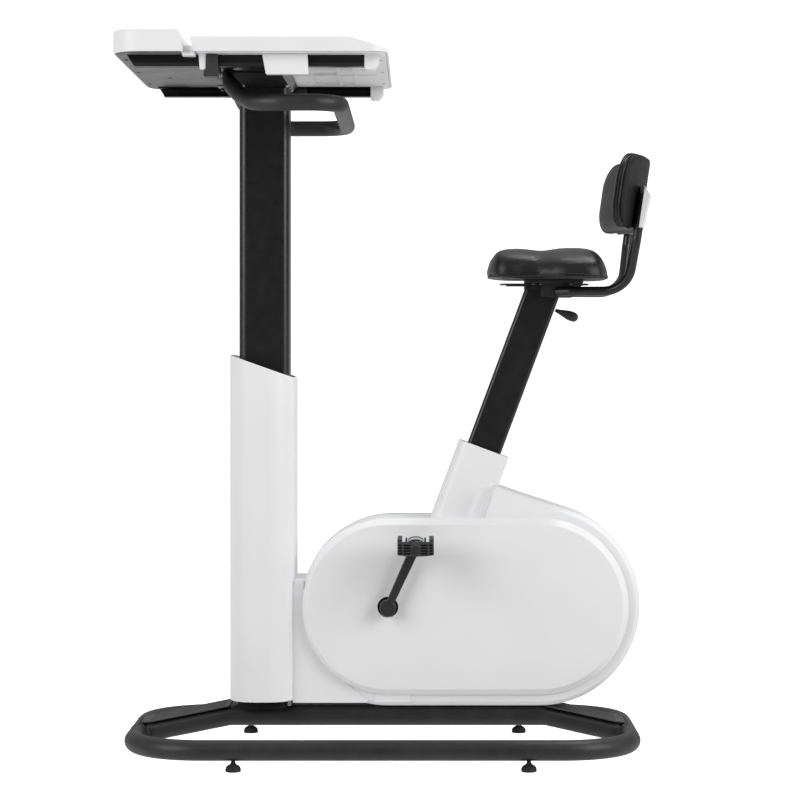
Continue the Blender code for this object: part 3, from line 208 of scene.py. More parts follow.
def make_materials(colours):
    """Each material by name, with the record's slot that it stands for."""
    made = {}

    def keep(name, slot, sockets, shades, **surface):
        made[name] = (surfaced(name, sockets, shades, **surface), slot)

    def drifting(colour, share):
        """A colour and the darker or lighter shade that it drifts to."""
        return tuple(colour), tuple(share * c for c in colour)

    def between(*codes):
        return [linear(code) for code in codes]

    # ABS, injection moulded in a polished and lightly spark-eroded tool: an even satin white whose
    # sheen drifts a little over a hand's width. Its real grain of 0.1 mm is drawn at 1.2 mm to show.
    keep(
        "moulded_white_abs", "white_plastic", {"IOR": 1.54, "Specular IOR Level": 0.45},
        drifting(colours.white, 0.975),
        patch=0.16, roughness=(0.36, 0.42), relief=grain(0.0012), depth=0.000025,
    )
    # Steel, powder coated: a deep satin black with the faint orange peel of melted powder, 2 to 3 mm
    # across, which softens the edge of each reflection.
    keep(
        "powder_coated_steel", "black_metal", {"IOR": 1.50}, drifting(colours.black, 1.35),
        patch=0.060, roughness=(0.28, 0.36), relief=grain(0.0024, 2.0), depth=0.00005,
    )
    # Steel tube, powder coated with a fine texture: soft dull highlights that fade round the tube.
    # The texture's real 0.3 mm grain is drawn at 1 mm to show.
    keep(
        "textured_steel_tube", "black_metal", {"IOR": 1.50}, between("1d1d1e", "252526"),
        patch=0.050, roughness=(0.42, 0.52), relief=grain(0.0010, 3.0), depth=0.00006,
    )
    # Aluminium channel, extruded and anodised black, and painted darker than the other blacks as painted
    # shade for its recess: nearly no light comes back from inside it.
    keep(
        "channel_black_painted_shade", "black_metal", {"IOR": 1.45, "Specular IOR Level": 0.35},
        between("0b0b0c", "111112"),
        patch=0.080, roughness=(0.40, 0.48), relief=grain(0.0020, 3.0), depth=0.00004,
    )
    # Cast iron bracket, phosphated and oiled: a dull black that mirrors nothing.
    keep(
        "phosphated_casting", "cast_iron", {"IOR": 1.45, "Specular IOR Level": 0.15},
        between("131314", "1b1b1c"),
        patch=0.020, roughness=(0.70, 0.80), relief=grain(0.0016), depth=0.00012,
    )
    # Glass-filled nylon, injection moulded for the pedals' frames: a dull grey black, scuffed a
    # little lighter in spots a centimetre across.
    keep(
        "glass_filled_nylon", "black_plastic", {"IOR": 1.53, "Specular IOR Level": 0.4},
        between("333334", "3d3d3e"),
        patch=0.012, roughness=(0.44, 0.54), relief=grain(0.0010), depth=0.00006,
    )
    # Polypropylene, moulded with a matt leather grain as the backrest's cover: much duller than the
    # leathercloth. Its real 1 mm pebble is drawn at 2.4 mm to show.
    keep(
        "grained_polypropylene", "saddle_vinyl", {"IOR": 1.49, "Specular IOR Level": 0.22},
        between("111112", "171718"),
        patch=0.040, roughness=(0.46, 0.56), relief=pebbles(0.0024), depth=0.00006,
    )
    # Nylon, injection moulded with a spark-eroded texture: a drier black with a fine sandy grain.
    # The real 0.15 mm grain is drawn at 0.9 mm to show.
    keep(
        "moulded_black_nylon", "black_plastic", {"IOR": 1.53, "Specular IOR Level": 0.4},
        between("1d1d1e", "262627"),
        patch=0.030, roughness=(0.44, 0.56), relief=grain(0.0009), depth=0.00006,
    )
    # ABS, moulded in dark grey with a matt tool: soft flat light without a clear reflection.
    keep(
        "moulded_grey_abs", "grey_plastic", {"IOR": 1.54, "Specular IOR Level": 0.4},
        between("29292a", "303031"),
        patch=0.040, roughness=(0.48, 0.58), relief=grain(0.0010), depth=0.00004,
    )
    # Vinyl strip, extruded with ribs: a dull dark grey, scuffed a little lighter along its length.
    keep(
        "ribbed_strip_vinyl", "grey_plastic", {"IOR": 1.54, "Specular IOR Level": 0.4},
        between("3f3f40", "484849"),
        patch=0.025, roughness=(0.50, 0.62), relief=grain(0.0012), depth=0.00006,
    )
    # ABS sheet, vacuum formed in mid grey: slightly cloudy where it was drawn thin.
    keep(
        "formed_grey_abs", "panel_grey", {"IOR": 1.54, "Specular IOR Level": 0.35},
        between("6e6e6f", "656566"),
        patch=0.090, roughness=(0.46, 0.58), relief=grain(0.0015), depth=0.00003,
    )
    # Leathercloth, PVC embossed with a leather grain: soft wide highlights broken up by pebbles.
    # Its real 1 mm pebble is drawn at 1.8 mm to show.
    keep(
        "embossed_leathercloth", "saddle_vinyl", {"IOR": 1.52, "Specular IOR Level": 0.34},
        drifting(colours.vinyl, 1.3),
        patch=0.050, roughness=(0.27, 0.36), relief=pebbles(0.0018), depth=0.00004,
    )
    # Vinyl piping, extruded and sewn on: smoother than the leathercloth, so that a thin line of
    # light lies along it.
    keep(
        "piping_vinyl", "saddle_vinyl", {"IOR": 1.53, "Specular IOR Level": 0.35},
        between("141415", "1b1b1c"),
        patch=0.015, roughness=(0.42, 0.52), relief=grain(0.0015), depth=0.00004,
    )
    # Natural rubber, compression moulded: dull black with a dusty bloom.
    keep(
        "moulded_rubber", "foot_rubber", {"IOR": 1.52, "Specular IOR Level": 0.35},
        between("191919", "242423"),
        patch=0.020, roughness=(0.66, 0.82), relief=grain(0.0011), depth=0.00008,
    )
    # Steel, turned and zinc plated: bright and slightly blue, with tool marks 1 mm apart, which are
    # ten times as coarse as the real ones so that they show.
    keep(
        "zinc_plated_steel", "steel", {"Metallic": 1.0}, between("c3c6c9", "aeb2b6"),
        patch=0.015, roughness=(0.20, 0.34), relief=lathe_rings(0.0010), depth=0.00002,
    )
    # Grey cast iron, sand cast and oiled: dark, with the coarse 2 mm bite of the sand mould.
    keep(
        "sand_cast_iron", "cast_iron", {"Metallic": 1.0}, between("4c4c4e", "5d5c5b"),
        patch=0.025, roughness=(0.52, 0.70), relief=grain(0.0020), depth=0.00015,
    )
    # Neoprene belt with a woven back: matt black with 2 mm ribs.
    keep(
        "ribbed_belt_neoprene", "belt_rubber", {"IOR": 1.52, "Specular IOR Level": 0.35},
        between("1a1a1b", "232324"),
        patch=0.030, roughness=(0.60, 0.74), relief=lathe_rings(0.0020), depth=0.00015,
    )
    return made


# Shapes


def arc(centre, radius, start, end, steps):
    """Points round an arc, with its angles in degrees."""
    points = []
    for i in range(steps + 1):
        angle = math.radians(start + (end - start) * i / steps)
        points.append((centre[0] + radius * math.cos(angle), centre[1] + radius * math.sin(angle)))
    return points


def circle(centre, radius, steps):
    """Points round a circle, from its right."""
    return arc(centre, radius, 0, 360, steps)[:-1]


def rounded(corners, radii, steps=6):
    """A polygon whose corners are rounded, all by one radius or each by its own."""
    count = len(corners)
    if not hasattr(radii, "__len__"):
        radii = [radii] * count
    points = []
    for i, (corner, radius) in enumerate(zip(corners, radii)):
        here = Vector(corner)
        back = Vector(corners[i - 1]) - here
        ahead = Vector(corners[(i + 1) % count]) - here
        half = back.angle(ahead) / 2
        if radius <= 0 or half > 1.56:
            points.append(tuple(here))
            continue
        reach = min(radius / math.tan(half), 0.49 * back.length, 0.49 * ahead.length)
        radius = reach * math.tan(half)
        centre = here + (back.normalized() + ahead.normalized()).normalized() * radius / math.sin(half)
        first = here + back.normalized() * reach - centre
        last = here + ahead.normalized() * reach - centre
        start = math.atan2(first.y, first.x)
        turn = (math.atan2(last.y, last.x) - start + math.pi) % (2 * math.pi) - math.pi
        for step in range(steps + 1):
            angle = start + turn * step / steps
            points.append((centre.x + radius * math.cos(angle), centre.y + radius * math.sin(angle)))
    return points


def rectangle(x_span, y_span, radius, steps):
    """A rectangle with rounded corners, between the ends of two spans given in either order."""
    (left, right), (low, high) = sorted(x_span), sorted(y_span)
    return rounded([(left, low), (right, low), (right, high), (left, high)], radius, steps)


def inset(outline, distance):
    """A closed counterclockwise outline moved inwards, by one distance or by one for each point."""
    count = len(outline)
    distances = distance if hasattr(distance, "__len__") else [distance] * count
    moved = []
    for i, point in enumerate(outline):
        here = Vector(point)
        arriving = (here - Vector(outline[i - 1])).normalized()
        leaving = (Vector(outline[(i + 1) % count]) - here).normalized()
        normal = Vector((-arriving.y, arriving.x))
        middle = (normal + Vector((-leaving.y, leaving.x))).normalized()
        moved.append(tuple(here + middle * distances[i] / max(0.5, middle.dot(normal))))
    return moved


def filleted(corners, radii, steps):
    """The corners joined by straight runs, each inner corner rounded by its own radius."""
    points = [Vector(corners[0])]
    for before, corner, after, radius in zip(corners, corners[1:], corners[2:], radii):
        corner = Vector(corner)
        back = (Vector(before) - corner).normalized()
        ahead = (Vector(after) - corner).normalized()
        half = back.angle(ahead) / 2
        centre = corner + (back + ahead).normalized() * radius / math.sin(half)
        first = corner + back * radius / math.tan(half) - centre
        axis = first.cross(corner + ahead * radius / math.tan(half) - centre)
        for i in range(steps + 1):
            points.append(centre + Matrix.Rotation((math.pi - 2 * half) * i / steps, 3, axis) @ first)
    points.append(Vector(corners[-1]))
    return points


def smooth_path(knots, per_span):
    """Points on a smooth curve that passes through every knot."""
    knots = [Vector(knot) for knot in knots]
    ends = [2 * knots[0] - knots[1]] + knots + [2 * knots[-1] - knots[-2]]
    points = []
    for a, b, c, d in zip(ends, ends[1:], ends[2:], ends[3:]):
        square, cube = 2 * a - 5 * b + 4 * c - d, 3 * b - a - 3 * c + d
        for i in range(per_span):
            t = i / per_span
            points.append(0.5 * (2 * b + (c - a) * t + square * t**2 + cube * t**3))
    return points + [knots[-1]]


def clamped(share):
    """The share, held between 0 and 1."""
    return min(1.0, max(0.0, share))


def eased(share):
    """The share, held between 0 and 1 and with a smooth start and end."""
    share = clamped(share)
    return share * share * (3 - 2 * share)


def skin(rings, closed=False, capped=True):
    """A mesh over rings of as many points each."""
    form = bmesh.new()
    rows = [[form.verts.new(point) for point in ring] for ring in rings]
    count = len(rows[0])
    for low, high in zip(rows, rows[1:] + rows[:1] if closed else rows[1:]):
        for i in range(count):
            j = (i + 1) % count
            form.faces.new((low[i], low[j], high[j], high[i]))
    if capped and not closed:
        form.faces.new(list(reversed(rows[0])))
        form.faces.new(rows[-1])
    bmesh.ops.recalc_face_normals(form, faces=form.faces)
    return form


PLANES = {
    "X": (Vector((1, 0, 0)), Matrix(((0, 0, 1), (1, 0, 0), (0, 1, 0))).to_4x4()),
    "Y": (Vector((0, 1, 0)), Matrix(((1, 0, 0), (0, 0, -1), (0, 1, 0))).to_4x4()),
    "Z": (Vector((0, 0, 1)), Matrix.Identity(4)),
}


def as_mesh(form, name="part"):
    """The form as a mesh. The form itself is freed."""
    mesh = bpy.data.meshes.new(name)
    form.to_mesh(mesh)
    form.free()
    return mesh


def linked(name, data):
    """A new object in the scene."""
    obj = bpy.data.objects.new(name, data)
    bpy.context.scene.collection.objects.link(obj)
    return obj


def evaluated(obj):
    """The object as its modifiers leave it."""
    bpy.context.view_layer.update()
    return obj.evaluated_get(bpy.context.evaluated_depsgraph_get())


def welded(form):
    """The form with the points that meet joined, and its faces turned outwards."""
    bmesh.ops.remove_doubles(form, verts=form.verts, dist=1e-6)
    bmesh.ops.recalc_face_normals(form, faces=form.faces)
    return form


def stand_at(where, facing):
    """The placement that puts a form at a point and turns its Z axis to a direction."""
    return Matrix.Translation(where) @ UP.rotation_difference(Vector(facing)).to_matrix().to_4x4()


def from_curve(curve):
    """The mesh of a curve's solid, welded, as a bmesh."""
    obj = linked("outline", curve)
    form = bmesh.new()
    form.from_mesh(bpy.data.meshes.new_from_object(evaluated(obj)))
    bpy.data.objects.remove(obj, do_unlink=True)
    return welded(form)


def add_line(curve, points, cyclic):
    """Adds a line of straight runs to a curve."""
    spline = curve.splines.new("POLY")
    spline.points.add(len(points) - 1)
    for point, place in zip(spline.points, points):
        point.co = (*place, 1)
    spline.use_cyclic_u = cyclic


def slab(outlines, span, axis="Y", edge=0.0):
    """Flat outlines, the later ones being holes, as a plate over a span of an axis, with rounded edges."""
    curve = bpy.data.curves.new("outline", "CURVE")
    curve.dimensions = "2D"
    curve.fill_mode = "BOTH"
    low, high = sorted(span)
    curve.extrude = (high - low) / 2 - edge
    curve.bevel_depth = edge
    curve.bevel_resolution = 2
    curve.offset = -edge
    for outline in outlines:
        add_line(curve, [(u, v, 0) for u, v in outline], True)
    direction, turn = PLANES[axis]
    form = from_curve(curve)
    form.transform(Matrix.Translation(direction * (low + high) / 2) @ turn)
    return form


def block(x_span, y_span, z_span, radius, edge):
    """A box with rounded corners seen from above and rounded edges."""
    return slab([rectangle(x_span, y_span, radius, 3)], z_span, "Z", edge)


def rod(points, radius, cyclic, sides):
    """A round bar along the points."""
    curve = bpy.data.curves.new("rod", "CURVE")
    curve.dimensions = "3D"
    curve.bevel_depth = radius
    curve.bevel_resolution = sides
    curve.use_fill_caps = not cyclic
    add_line(curve, points, cyclic)
    return from_curve(curve)


def turned(profile, centre, axis, steps):
    """A profile of (radius, height) turned about an axis."""
    form = bmesh.new()
    verts = [form.verts.new((radius, 0, height)) for radius, height in profile]
    edges = [form.edges.new(pair) for pair in zip(verts, verts[1:])]
    sweep = {"cent": (0, 0, 0), "axis": UP, "angle": 2 * math.pi, "steps": steps}
    bmesh.ops.spin(form, geom=verts + edges, use_merge=True, **sweep)
    welded(form).transform(stand_at(centre, axis))
    return form


def dome(radius, height, lip):
    """The profile of a domed cap with an upright lip, which stands on a flat face."""
    points = [(0, height)]
    for degrees in (15, 30, 45, 60, 75, 90):
        angle = math.radians(degrees)
        points.append((radius * math.sin(angle), lip + (height - lip) * math.cos(angle)))
    return points + [(radius, -0.001), (0, -0.001)]


def crossed_screw(radius):
    """A round screw head with a cross recess, which faces up Z."""
    arm, reach = 0.14 * radius, 0.52 * radius
    cross = [(arm, arm), (reach, arm), (reach, -arm), (arm, -arm), (arm, -reach), (-arm, -reach)]
    cross += [(-u, -v) for u, v in cross]
    head = slab([circle((0, 0), radius, 24), cross], (-0.0004, 0.0010), "Z", 0.0003)
    floor = slab([circle((0, 0), 0.8 * radius, 24)], (-0.0006, 0.0002), "Z", 0.0001)
    return joined([head, floor])


def hexagon_bolt(radius):
    """A bolt head on its washer, which faces up Z."""
    washer = slab([circle((0, 0), 1.45 * radius, 32)], (-0.0002, 0.0010), "Z", 0.0003)
    head = slab([circle((0, 0), 1.1 * radius, 6)], (0.0008, 0.0048), "Z", 0.0006)
    return joined([washer, head])


def joined(forms):
    """Several forms as one."""
    whole = bmesh.new()
    for form in forms:
        mesh = as_mesh(form)
        whole.from_mesh(mesh)
        bpy.data.meshes.remove(mesh)
    return whole


def set_at(form, places):
    """Copies of a form that faces up Z, each at a point and facing a direction."""
    copies = []
    for place in places:
        copy = form.copy()
        copy.transform(stand_at(*place))
        copies.append(copy)
    form.free()
    return joined(copies)


def mirrored(form):
    """The form and its mirror image across the bike's middle."""
    other = form.copy()
    bmesh.ops.scale(other, vec=(1, -1, 1), verts=other.verts)
    bmesh.ops.reverse_faces(other, faces=other.faces)
    return joined([form, other])


def bevel_edges(form, edges, width, segments):
    """Rounds edges of a form."""
    bmesh.ops.bevel(
        form, geom=edges, offset=width, segments=segments, affect="EDGES", profile=0.5, clamp_overlap=True
    )


def combined(form, cutter, operation="DIFFERENCE"):
    """One closed form cut by another, or kept where both are."""
    body, tool = [linked("part", as_mesh(solid)) for solid in (form, cutter)]
    change = body.modifiers.new("cut", "BOOLEAN")
    change.object = tool
    change.operation = operation
    change.solver = "EXACT"
    result = bmesh.new()
    result.from_mesh(evaluated(body).to_mesh())
    for obj in (body, tool):
        bpy.data.objects.remove(obj, do_unlink=True)
    bmesh.ops.remove_doubles(result, verts=result.verts, dist=2e-6)
    return result


MATERIALS = {}


def add_piece(name, form, finish, body, *replaced, angle=32, flat_first=True):
    """A form as a named piece in its finish, which rides on a body and may stand for nodes of the frame."""
    mesh = as_mesh(form, name)
    mesh.shade_smooth()
    mesh.set_sharp_from_angle(angle=math.radians(angle))
    obj = linked(name, mesh)
    material, slot = MATERIALS[finish]
    mesh.materials.append(material)
    if flat_first:
        normals = obj.modifiers.new("even faces", "WEIGHTED_NORMAL")
        normals.keep_sharp = True
        normals.weight = 60
    if replaced:
        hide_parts(*replaced)
    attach(obj, body)
    return obj


def refinish(finish, *nodes):
    """Gives nodes of the frame that stay as they are a better material."""
    for node in nodes:
        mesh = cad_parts[node].data
        mesh.materials.clear()
        mesh.materials.append(MATERIALS[finish][0])


# Base


def spine_fall(bend, ring_x):
    """How fast the spine's end slopes down from its bend to the top of the ring."""
    return (SPINE_TOP - RING_HEIGHT - RING_RADIUS) / abs(ring_x - bend)


def build_base(sizes):
    """The ring with its two plugs, the spine with its strips, and the four feet."""
    half = RING_HALF_WIDTH
    outline = rectangle((RING_FRONT, RING_REAR), (-half, half), RING_CORNER, 24)
    ring = rod([(x, y, RING_HEIGHT) for x, y in outline], RING_RADIUS, True, 10)
    add_piece("ring_tube", ring, "textured_steel_tube", "stand", "base_ring", flat_first=False)
    tilt = math.radians(26)
    lean = Vector((-math.sin(tilt), 0, math.cos(tilt)))
    places = []
    for sign in (-1, 1):
        middle = Vector((RING_FRONT, sign * 0.062, RING_HEIGHT))
        places.append((middle + lean * (RING_RADIUS - 0.0004), lean))
    plug = turned(dome(sizes.plug_radius, 0.0016, 0.0006), (0, 0, 0), UP, 24)
    add_piece("ring_plugs", set_at(plug, places), "moulded_rubber", "stand")
    build_spine()
    for end, bend, ring_x in SPINE_ENDS:
        build_strip(end, bend, ring_x)
        for side, sign in SIDES:
            build_foot(end, side, sign)


def build_spine():
    """The bent box tube, with its rolled long edges and a weld where each end meets the ring."""
    half, weld_half, weld_radius = 0.050, 0.0502, 0.0022
    rings, welds = [], []
    for _, bend, ring_x in SPINE_ENDS:
        out = 1 if ring_x > bend else -1
        tip = ring_x - out * RING_RADIUS * 0.8
        for x in sorted((tip, bend - 0.002, bend + 0.002)):
            drop = max(0, out * (x - bend)) * spine_fall(bend, ring_x)
            ring = rectangle((-half, half), (SPINE_BOTTOM - drop, SPINE_TOP - drop), SPINE_CORNER, 9)
            rings.append([(x, y, z) for y, z in ring])
        drop = spine_fall(bend, ring_x) * abs(tip - bend)
        line = []
        heights = (SPINE_BOTTOM - drop, SPINE_TOP - drop)
        for y, z in rectangle((-weld_half, weld_half), heights, SPINE_CORNER, 4):
            reach = max(0.0, RING_RADIUS**2 - (z - RING_HEIGHT) ** 2)
            line.append((ring_x - out * math.sqrt(reach), y, z))
        welds.append(rod(line, weld_radius, True, 3))
    add_piece("spine_tube", skin(rings), "textured_steel_tube", "stand", "base_spine")
    add_piece("spine_welds", joined(welds), "textured_steel_tube", "stand", flat_first=False)


def build_strip(end, bend, ring_x):
    """A ribbed strip on the spine's sloping end, with its outer corners cut off."""
    out = 1 if ring_x > bend else -1
    tilt = math.atan(spine_fall(bend, ring_x))
    length = (abs(ring_x - bend) - 0.003) / math.cos(tilt)
    half, cut, rib_half, rib_pitch = 0.054, 0.018, 0.0012, 0.0135
    corners = [(0, -half), (out * (length - cut), -half), (out * length, -half + cut)]
    corners += [(out * length, half - cut), (out * (length - cut), half), (0, half)]
    if out < 0:
        corners.reverse()
    forms = [slab([rounded(corners, 0.004, 4)], (0.0002, 0.0027), "Z", 0.0008)]
    for i in range(-3, 4):
        middle = i * rib_pitch
        x_span = (out * 0.010, out * (length - 0.020))
        rib = rectangle(x_span, (middle - rib_half, middle + rib_half), 0.0011, 3)
        forms.append(slab([rib], (0.0020, 0.0033), "Z", 0.0004))
    strip = joined(forms)
    strip.transform(Matrix.Translation((bend, 0, SPINE_TOP)) @ Matrix.Rotation(out * tilt, 4, "Y"))
    add_piece(f"spine_strip_{end}", strip, "ribbed_strip_vinyl", "stand", f"ramp_{end}")


def build_foot(end, side, sign):
    """A domed rubber foot with a neck round its thread."""
    top = RING_HEIGHT - RING_RADIUS - 0.0003
    profile = [(0, top), (0.0040, top), (0.0044, 0.0180), (0.0056, 0.0150), (0.0078, 0.0135)]
    profile += [(0.0110, 0.0118), (0.0134, 0.0092), (0.0147, 0.0060), (0.0151, 0.0030), (0.0148, 0.0010)]
    profile += [(0.0138, 0.0), (0.0105, 0.0), (0.0100, 0.0008), (0, 0.0008)]
    foot = turned(profile, (FOOT_X[end], sign * RING_HALF_WIDTH, 0), UP, 40)
    node = f"foot_{end}_{side}"
    add_piece(f"rubber_{node}", foot, "moulded_rubber", node, node)


# Column


def cover_ring(margin, drop, height=None):
    """A ring round the cover, level at a height, or a drop below its sloping rim."""
    half_x, half_y = COVER_SIZE[0] / 2 - margin, COVER_SIZE[1] / 2 - margin
    slope = (COVER_RIM[1] - COVER_RIM[0]) / COVER_SIZE[0]
    ring = []
    for x, y in rectangle((-half_x, half_x), (-half_y, half_y), 0.050 - margin, 14):
        bowed = y * (1 - 0.022 * (x / half_x) ** 2)
        rim = COVER_RIM[0] + slope * (x + COVER_SIZE[0] / 2) - drop
        ring.append((COVER_X + x, bowed, rim if height is None else height))
    return ring


def column_ring(margin, height):
    """A ring round the lifting column, brought in by a margin."""
    half_x, half_y = (size / 2 - margin for size in COLUMN_SIZE)
    outline = rectangle((-half_x, half_x), (-half_y, half_y), COLUMN_CORNER - margin, 10)
    return [(COLUMN_X + x, y, height) for x, y in outline]


def build_column(sizes):
    """The cover on its base, a black collar of painted shade under it, the lifting profile and what stands
    on top of it.
    """
    low = COVER_BOTTOM + 0.0050
    layers = [(0.003, 0, low + 0.001), (0.0016, 0, low), (0.0005, 0, low + 0.0008), (0, 0, low + 0.0025)]
    layers += [(0, 0.0020), (0.0003, 0.0007), (0.0012, 0), (0.0024, 0), (0.0030, 0.0008)]
    cover = skin([cover_ring(*layer) for layer in layers], closed=True)
    add_piece("cover_moulding", cover, "moulded_white_abs", "stand", "column_cover")
    # A dull black collar under the cover's edge, put there as painted shade for the shadowed gap above the
    # spine.
    collar = rectangle((COVER_X - 0.050, COVER_X + 0.050), (-0.086, 0.086), 0.030, 12)
    collar = slab([collar], (SPINE_TOP + 0.0004, COVER_BOTTOM + 0.0080), "Z", 0.0010)
    add_piece("cover_shade_collar", collar, "phosphated_casting", "stand")
    foot, top, wall, soft = 0.530, 1.3290, 0.003, 0.001
    layers = [(soft, foot), (0, foot + 0.0005), (0, top - 0.0005), (soft, top), (wall, top), (wall, foot)]
    profile = skin([column_ring(*layer) for layer in layers], closed=True)
    add_piece("column_profile", profile, "powder_coated_steel", "lift", "lift_column")
    build_head()
    build_carriage()
    build_handlebar(sizes)
    refinish("zinc_plated_steel", "column_tube", "lift_spring", "lift_rod")
    refinish("moulded_black_nylon", "column_bush", "slider_left", "slider_right")


def build_head():
    """The cast bracket that spreads from the column's corners to arms under the carriage, and its bolts."""
    low, high = 1.3293, 1.3484
    foot = [(-0.301, -0.046), (-0.2905, -0.047), (-0.232, -0.047), (-0.203, -0.046)]
    arm = [(-0.3112, -0.163), (-0.2640, -0.147), (-0.2400, -0.147), (-0.2130, -0.163)]
    rings = []
    for line, height in ((foot, low), (foot, low + 0.0030), (arm, high - 0.0024), (arm, high)):
        far = [(x, -y) for x, y in reversed(line)]
        rings.append([(x, y, height) for x, y in line + far])
    bracket = skin(rings)
    bevel_edges(bracket, bracket.edges[:], 0.0009, 2)
    add_piece("head_bracket", bracket, "phosphated_casting", "lift", "column_head", angle=25)
    places = []
    for x in (-0.2935, -0.2050):
        places += [((x, sign * 0.0478, 1.3325), (0, sign, -0.25)) for sign in (-1, 1)]
    places += [((-0.2022, sign * 0.030, 1.3318), (1, 0, -0.15)) for sign in (-1, 1)]
    add_piece("head_bolts", set_at(hexagon_bolt(0.0026), places), "zinc_plated_steel", "lift")


def build_carriage():
    """The folded pan that rides in the rails, with flanges turned up, and its stop block."""
    half, low, wall = 0.2615, CARRIAGE_BOTTOM, 0.0025
    outer = [(-0.330, low + 0.0115), (-0.3240, low), (-0.2135, low), (-0.1990, low + 0.0115)]
    inner = [(-0.2010, low + 0.0125), (-0.2150, low + wall)]
    inner += [(-0.3225, low + wall), (-0.3275, low + 0.0125)]
    pan = [slab([rounded(outer + inner, 0.0015, 3)], (-half, half), "Y", 0.0006)]
    flange = rectangle((-0.328, -0.200), (low + 0.001, low + 0.0120), 0.002, 3)
    for sign in (-1, 1):
        pan.append(slab([flange], (sign * (half - 0.001), sign * (half - 0.0035)), "Y", 0.0006))
    for y in (-0.150, 0.150):
        bead = rectangle((-0.316, -0.224), (y - 0.009, y + 0.009), 0.0088, 6)
        pan.append(slab([bead], (low - 0.0004, low + 0.001), "Z", 0.0004))
    add_piece("carriage_pan", joined(pan), "powder_coated_steel", "lift", "carriage")
    front, rear, foot = -0.349, -0.3225, 1.321
    hook = [(front, foot), (rear, foot), (rear, 1.362), (-0.344, 1.362), (-0.344, 1.3345), (front, 1.3335)]
    bar = [(front, foot), (rear, foot), (rear, 1.334), (front, 1.334)]
    forms = [slab([rounded(hook, 0.0016, 4)], (-0.312, -0.2958), "Y", 0.0010)]
    forms.append(slab([rounded(bar, 0.0016, 4)], (-0.297, -0.283), "Y", 0.0010))
    forms.append(block((-0.345, rear - 0.0003), (-0.285, -0.216), (1.3330, low - 0.0003), 0.002, 0.0010))
    add_piece("stop_moulding", joined(forms), "moulded_grey_abs", "lift", "stop_block")


def handlebar_path():
    """The bar's middle line: from the left plate down and out, back, across, and the same on the right."""
    level = HANDLEBAR_HEIGHT
    knots = [(-0.3215, -0.118, 1.3455), (-0.3165, -0.140, 1.3330), (-0.3035, -0.170, 1.3150)]
    knots += [(-0.284, -0.204, 1.2945), (-0.258, -0.246, 1.2800), (-0.218, -0.270, level)]
    near = smooth_path(knots + [(-0.185, -0.275, level)], 8)
    near += [Vector((x, y, level)) for x, y in arc((-0.154, -0.215), 0.060, 270, 360, 18)]
    return near + [Vector((p.x, -p.y, p.z)) for p in reversed(near)]


def flattened_tube(path, radius, length):
    """A tube along a path, pressed flat over a length at both ends, where it is bolted on."""
    rings = []
    across = Vector((1, 0, 0))
    travelled = [0.0]
    for before, after in zip(path, path[1:]):
        travelled.append(travelled[-1] + (after - before).length)
    for i, point in enumerate(path):
        along = (path[min(i + 1, len(path) - 1)] - path[max(i - 1, 0)]).normalized()
        across = (across - along * across.dot(along)).normalized()
        wide = along.cross(across)
        share = eased(min(travelled[i], travelled[-1] - travelled[i]) / length)
        thin, broad = radius * (0.52 + 0.48 * share), radius * (1.22 - 0.22 * share)
        rings.append([point + across * thin * u + wide * broad * v for u, v in circle((0, 0), 1, 40)])
    return skin(rings)


def build_handlebar(sizes):
    """The bent bar, with the plates that bolt its risers to the carriage."""
    bar = flattened_tube(handlebar_path(), sizes.bar_radius, 0.060)
    add_piece("handlebar_bar", bar, "textured_steel_tube", "lift", "handlebar", flat_first=False)
    plate = rectangle((-0.356, -0.296), (-0.138, -0.086), 0.010, 6)
    foot = slab([plate], (1.3456, 1.3488), "Z", 0.0008)
    add_piece("handlebar_plates", mirrored(foot), "powder_coated_steel", "lift")
    places = []
    for x, y in ((-0.348, -0.130), (-0.304, -0.094)):
        places += [((x, sign * y, 1.3457), (0, 0, -1)) for sign in (-1, 1)]
    add_piece("handlebar_bolts", set_at(hexagon_bolt(0.0034), places), "powder_coated_steel", "lift")


# Housing and drive


def shell_line():
    """The housing's side outline, counterclockwise from its neck, and how far in each point may move."""
    front = NECK_FRONT - 0.0030
    reach = CRANK_AXIS[0] - front
    neck_angle = 180 + math.degrees(math.acos(reach / BODY_RADIUS))
    top_angle = 180 - math.degrees(math.asin((NECK_TOP - CRANK_AXIS[1]) / BODY_TOP_RADIUS))
    peak = (0.2075, 0.5368)
    line = arc((front + 0.007, NECK_TOP - 0.007), 0.007, 90, 180, 6)
    line += arc(CRANK_AXIS, BODY_RADIUS, neck_angle, 270, 20)
    line += arc(WHEEL_AXIS, BODY_RADIUS, -90, 69, 48)
    line += [(0.2610, 0.5190), (0.2180, 0.5345), peak, (0.2030, 0.5258), (0.1870, 0.4806), (0.1835, 0.4720)]
    line += [(0.1200, 0.4720), (0.0600, 0.4720)]
    line += arc(CRANK_AXIS, BODY_TOP_RADIUS, 90, top_angle, 22)
    limits = []
    for x, z in line:
        away = (Vector((x, z)) - Vector((front, NECK_TOP))).length
        limit = min(1.0, 0.30 + max(0.0, away - 0.008) / 0.040)
        if x < front + 0.020:
            limit = min(0.30, 0.05 + max(0.0, x - front - 0.004) / 0.030)
        if z > 0.4719 and x > 0.15:
            away = (Vector((x, z)) - Vector(peak)).length
            limit = 0.22 if x < peak[0] else min(1.0, 0.22 + away / 0.170)
        limits.append(limit)
    return line, limits


def shell_layers():
    """Pairs of how far in and how far out each ring of the shell lies."""
    half = BODY_HALF_WIDTH
    layers = [(0.0006, 0.0002), (0.0, 0.0009), (0.0, 0.030), (0.0, half - 0.0170), (0.0003, half - 0.0148)]
    layers += [(0.0011, half - 0.0124), (0.0024, half - 0.0101), (0.0042, half - 0.0077)]
    layers += [(0.0063, half - 0.0052), (0.0083, half - 0.0030), (0.0098, half - 0.0018)]
    return layers + [(0.0108, half - 0.0014)]


def seat_tube_space():
    """The room that the fixed tube of the seat post needs in the shells."""
    return skin([post_ring((0.078, 0.048), 0.0095, up=up, steps=4) for up in (-0.62, 0.05)])


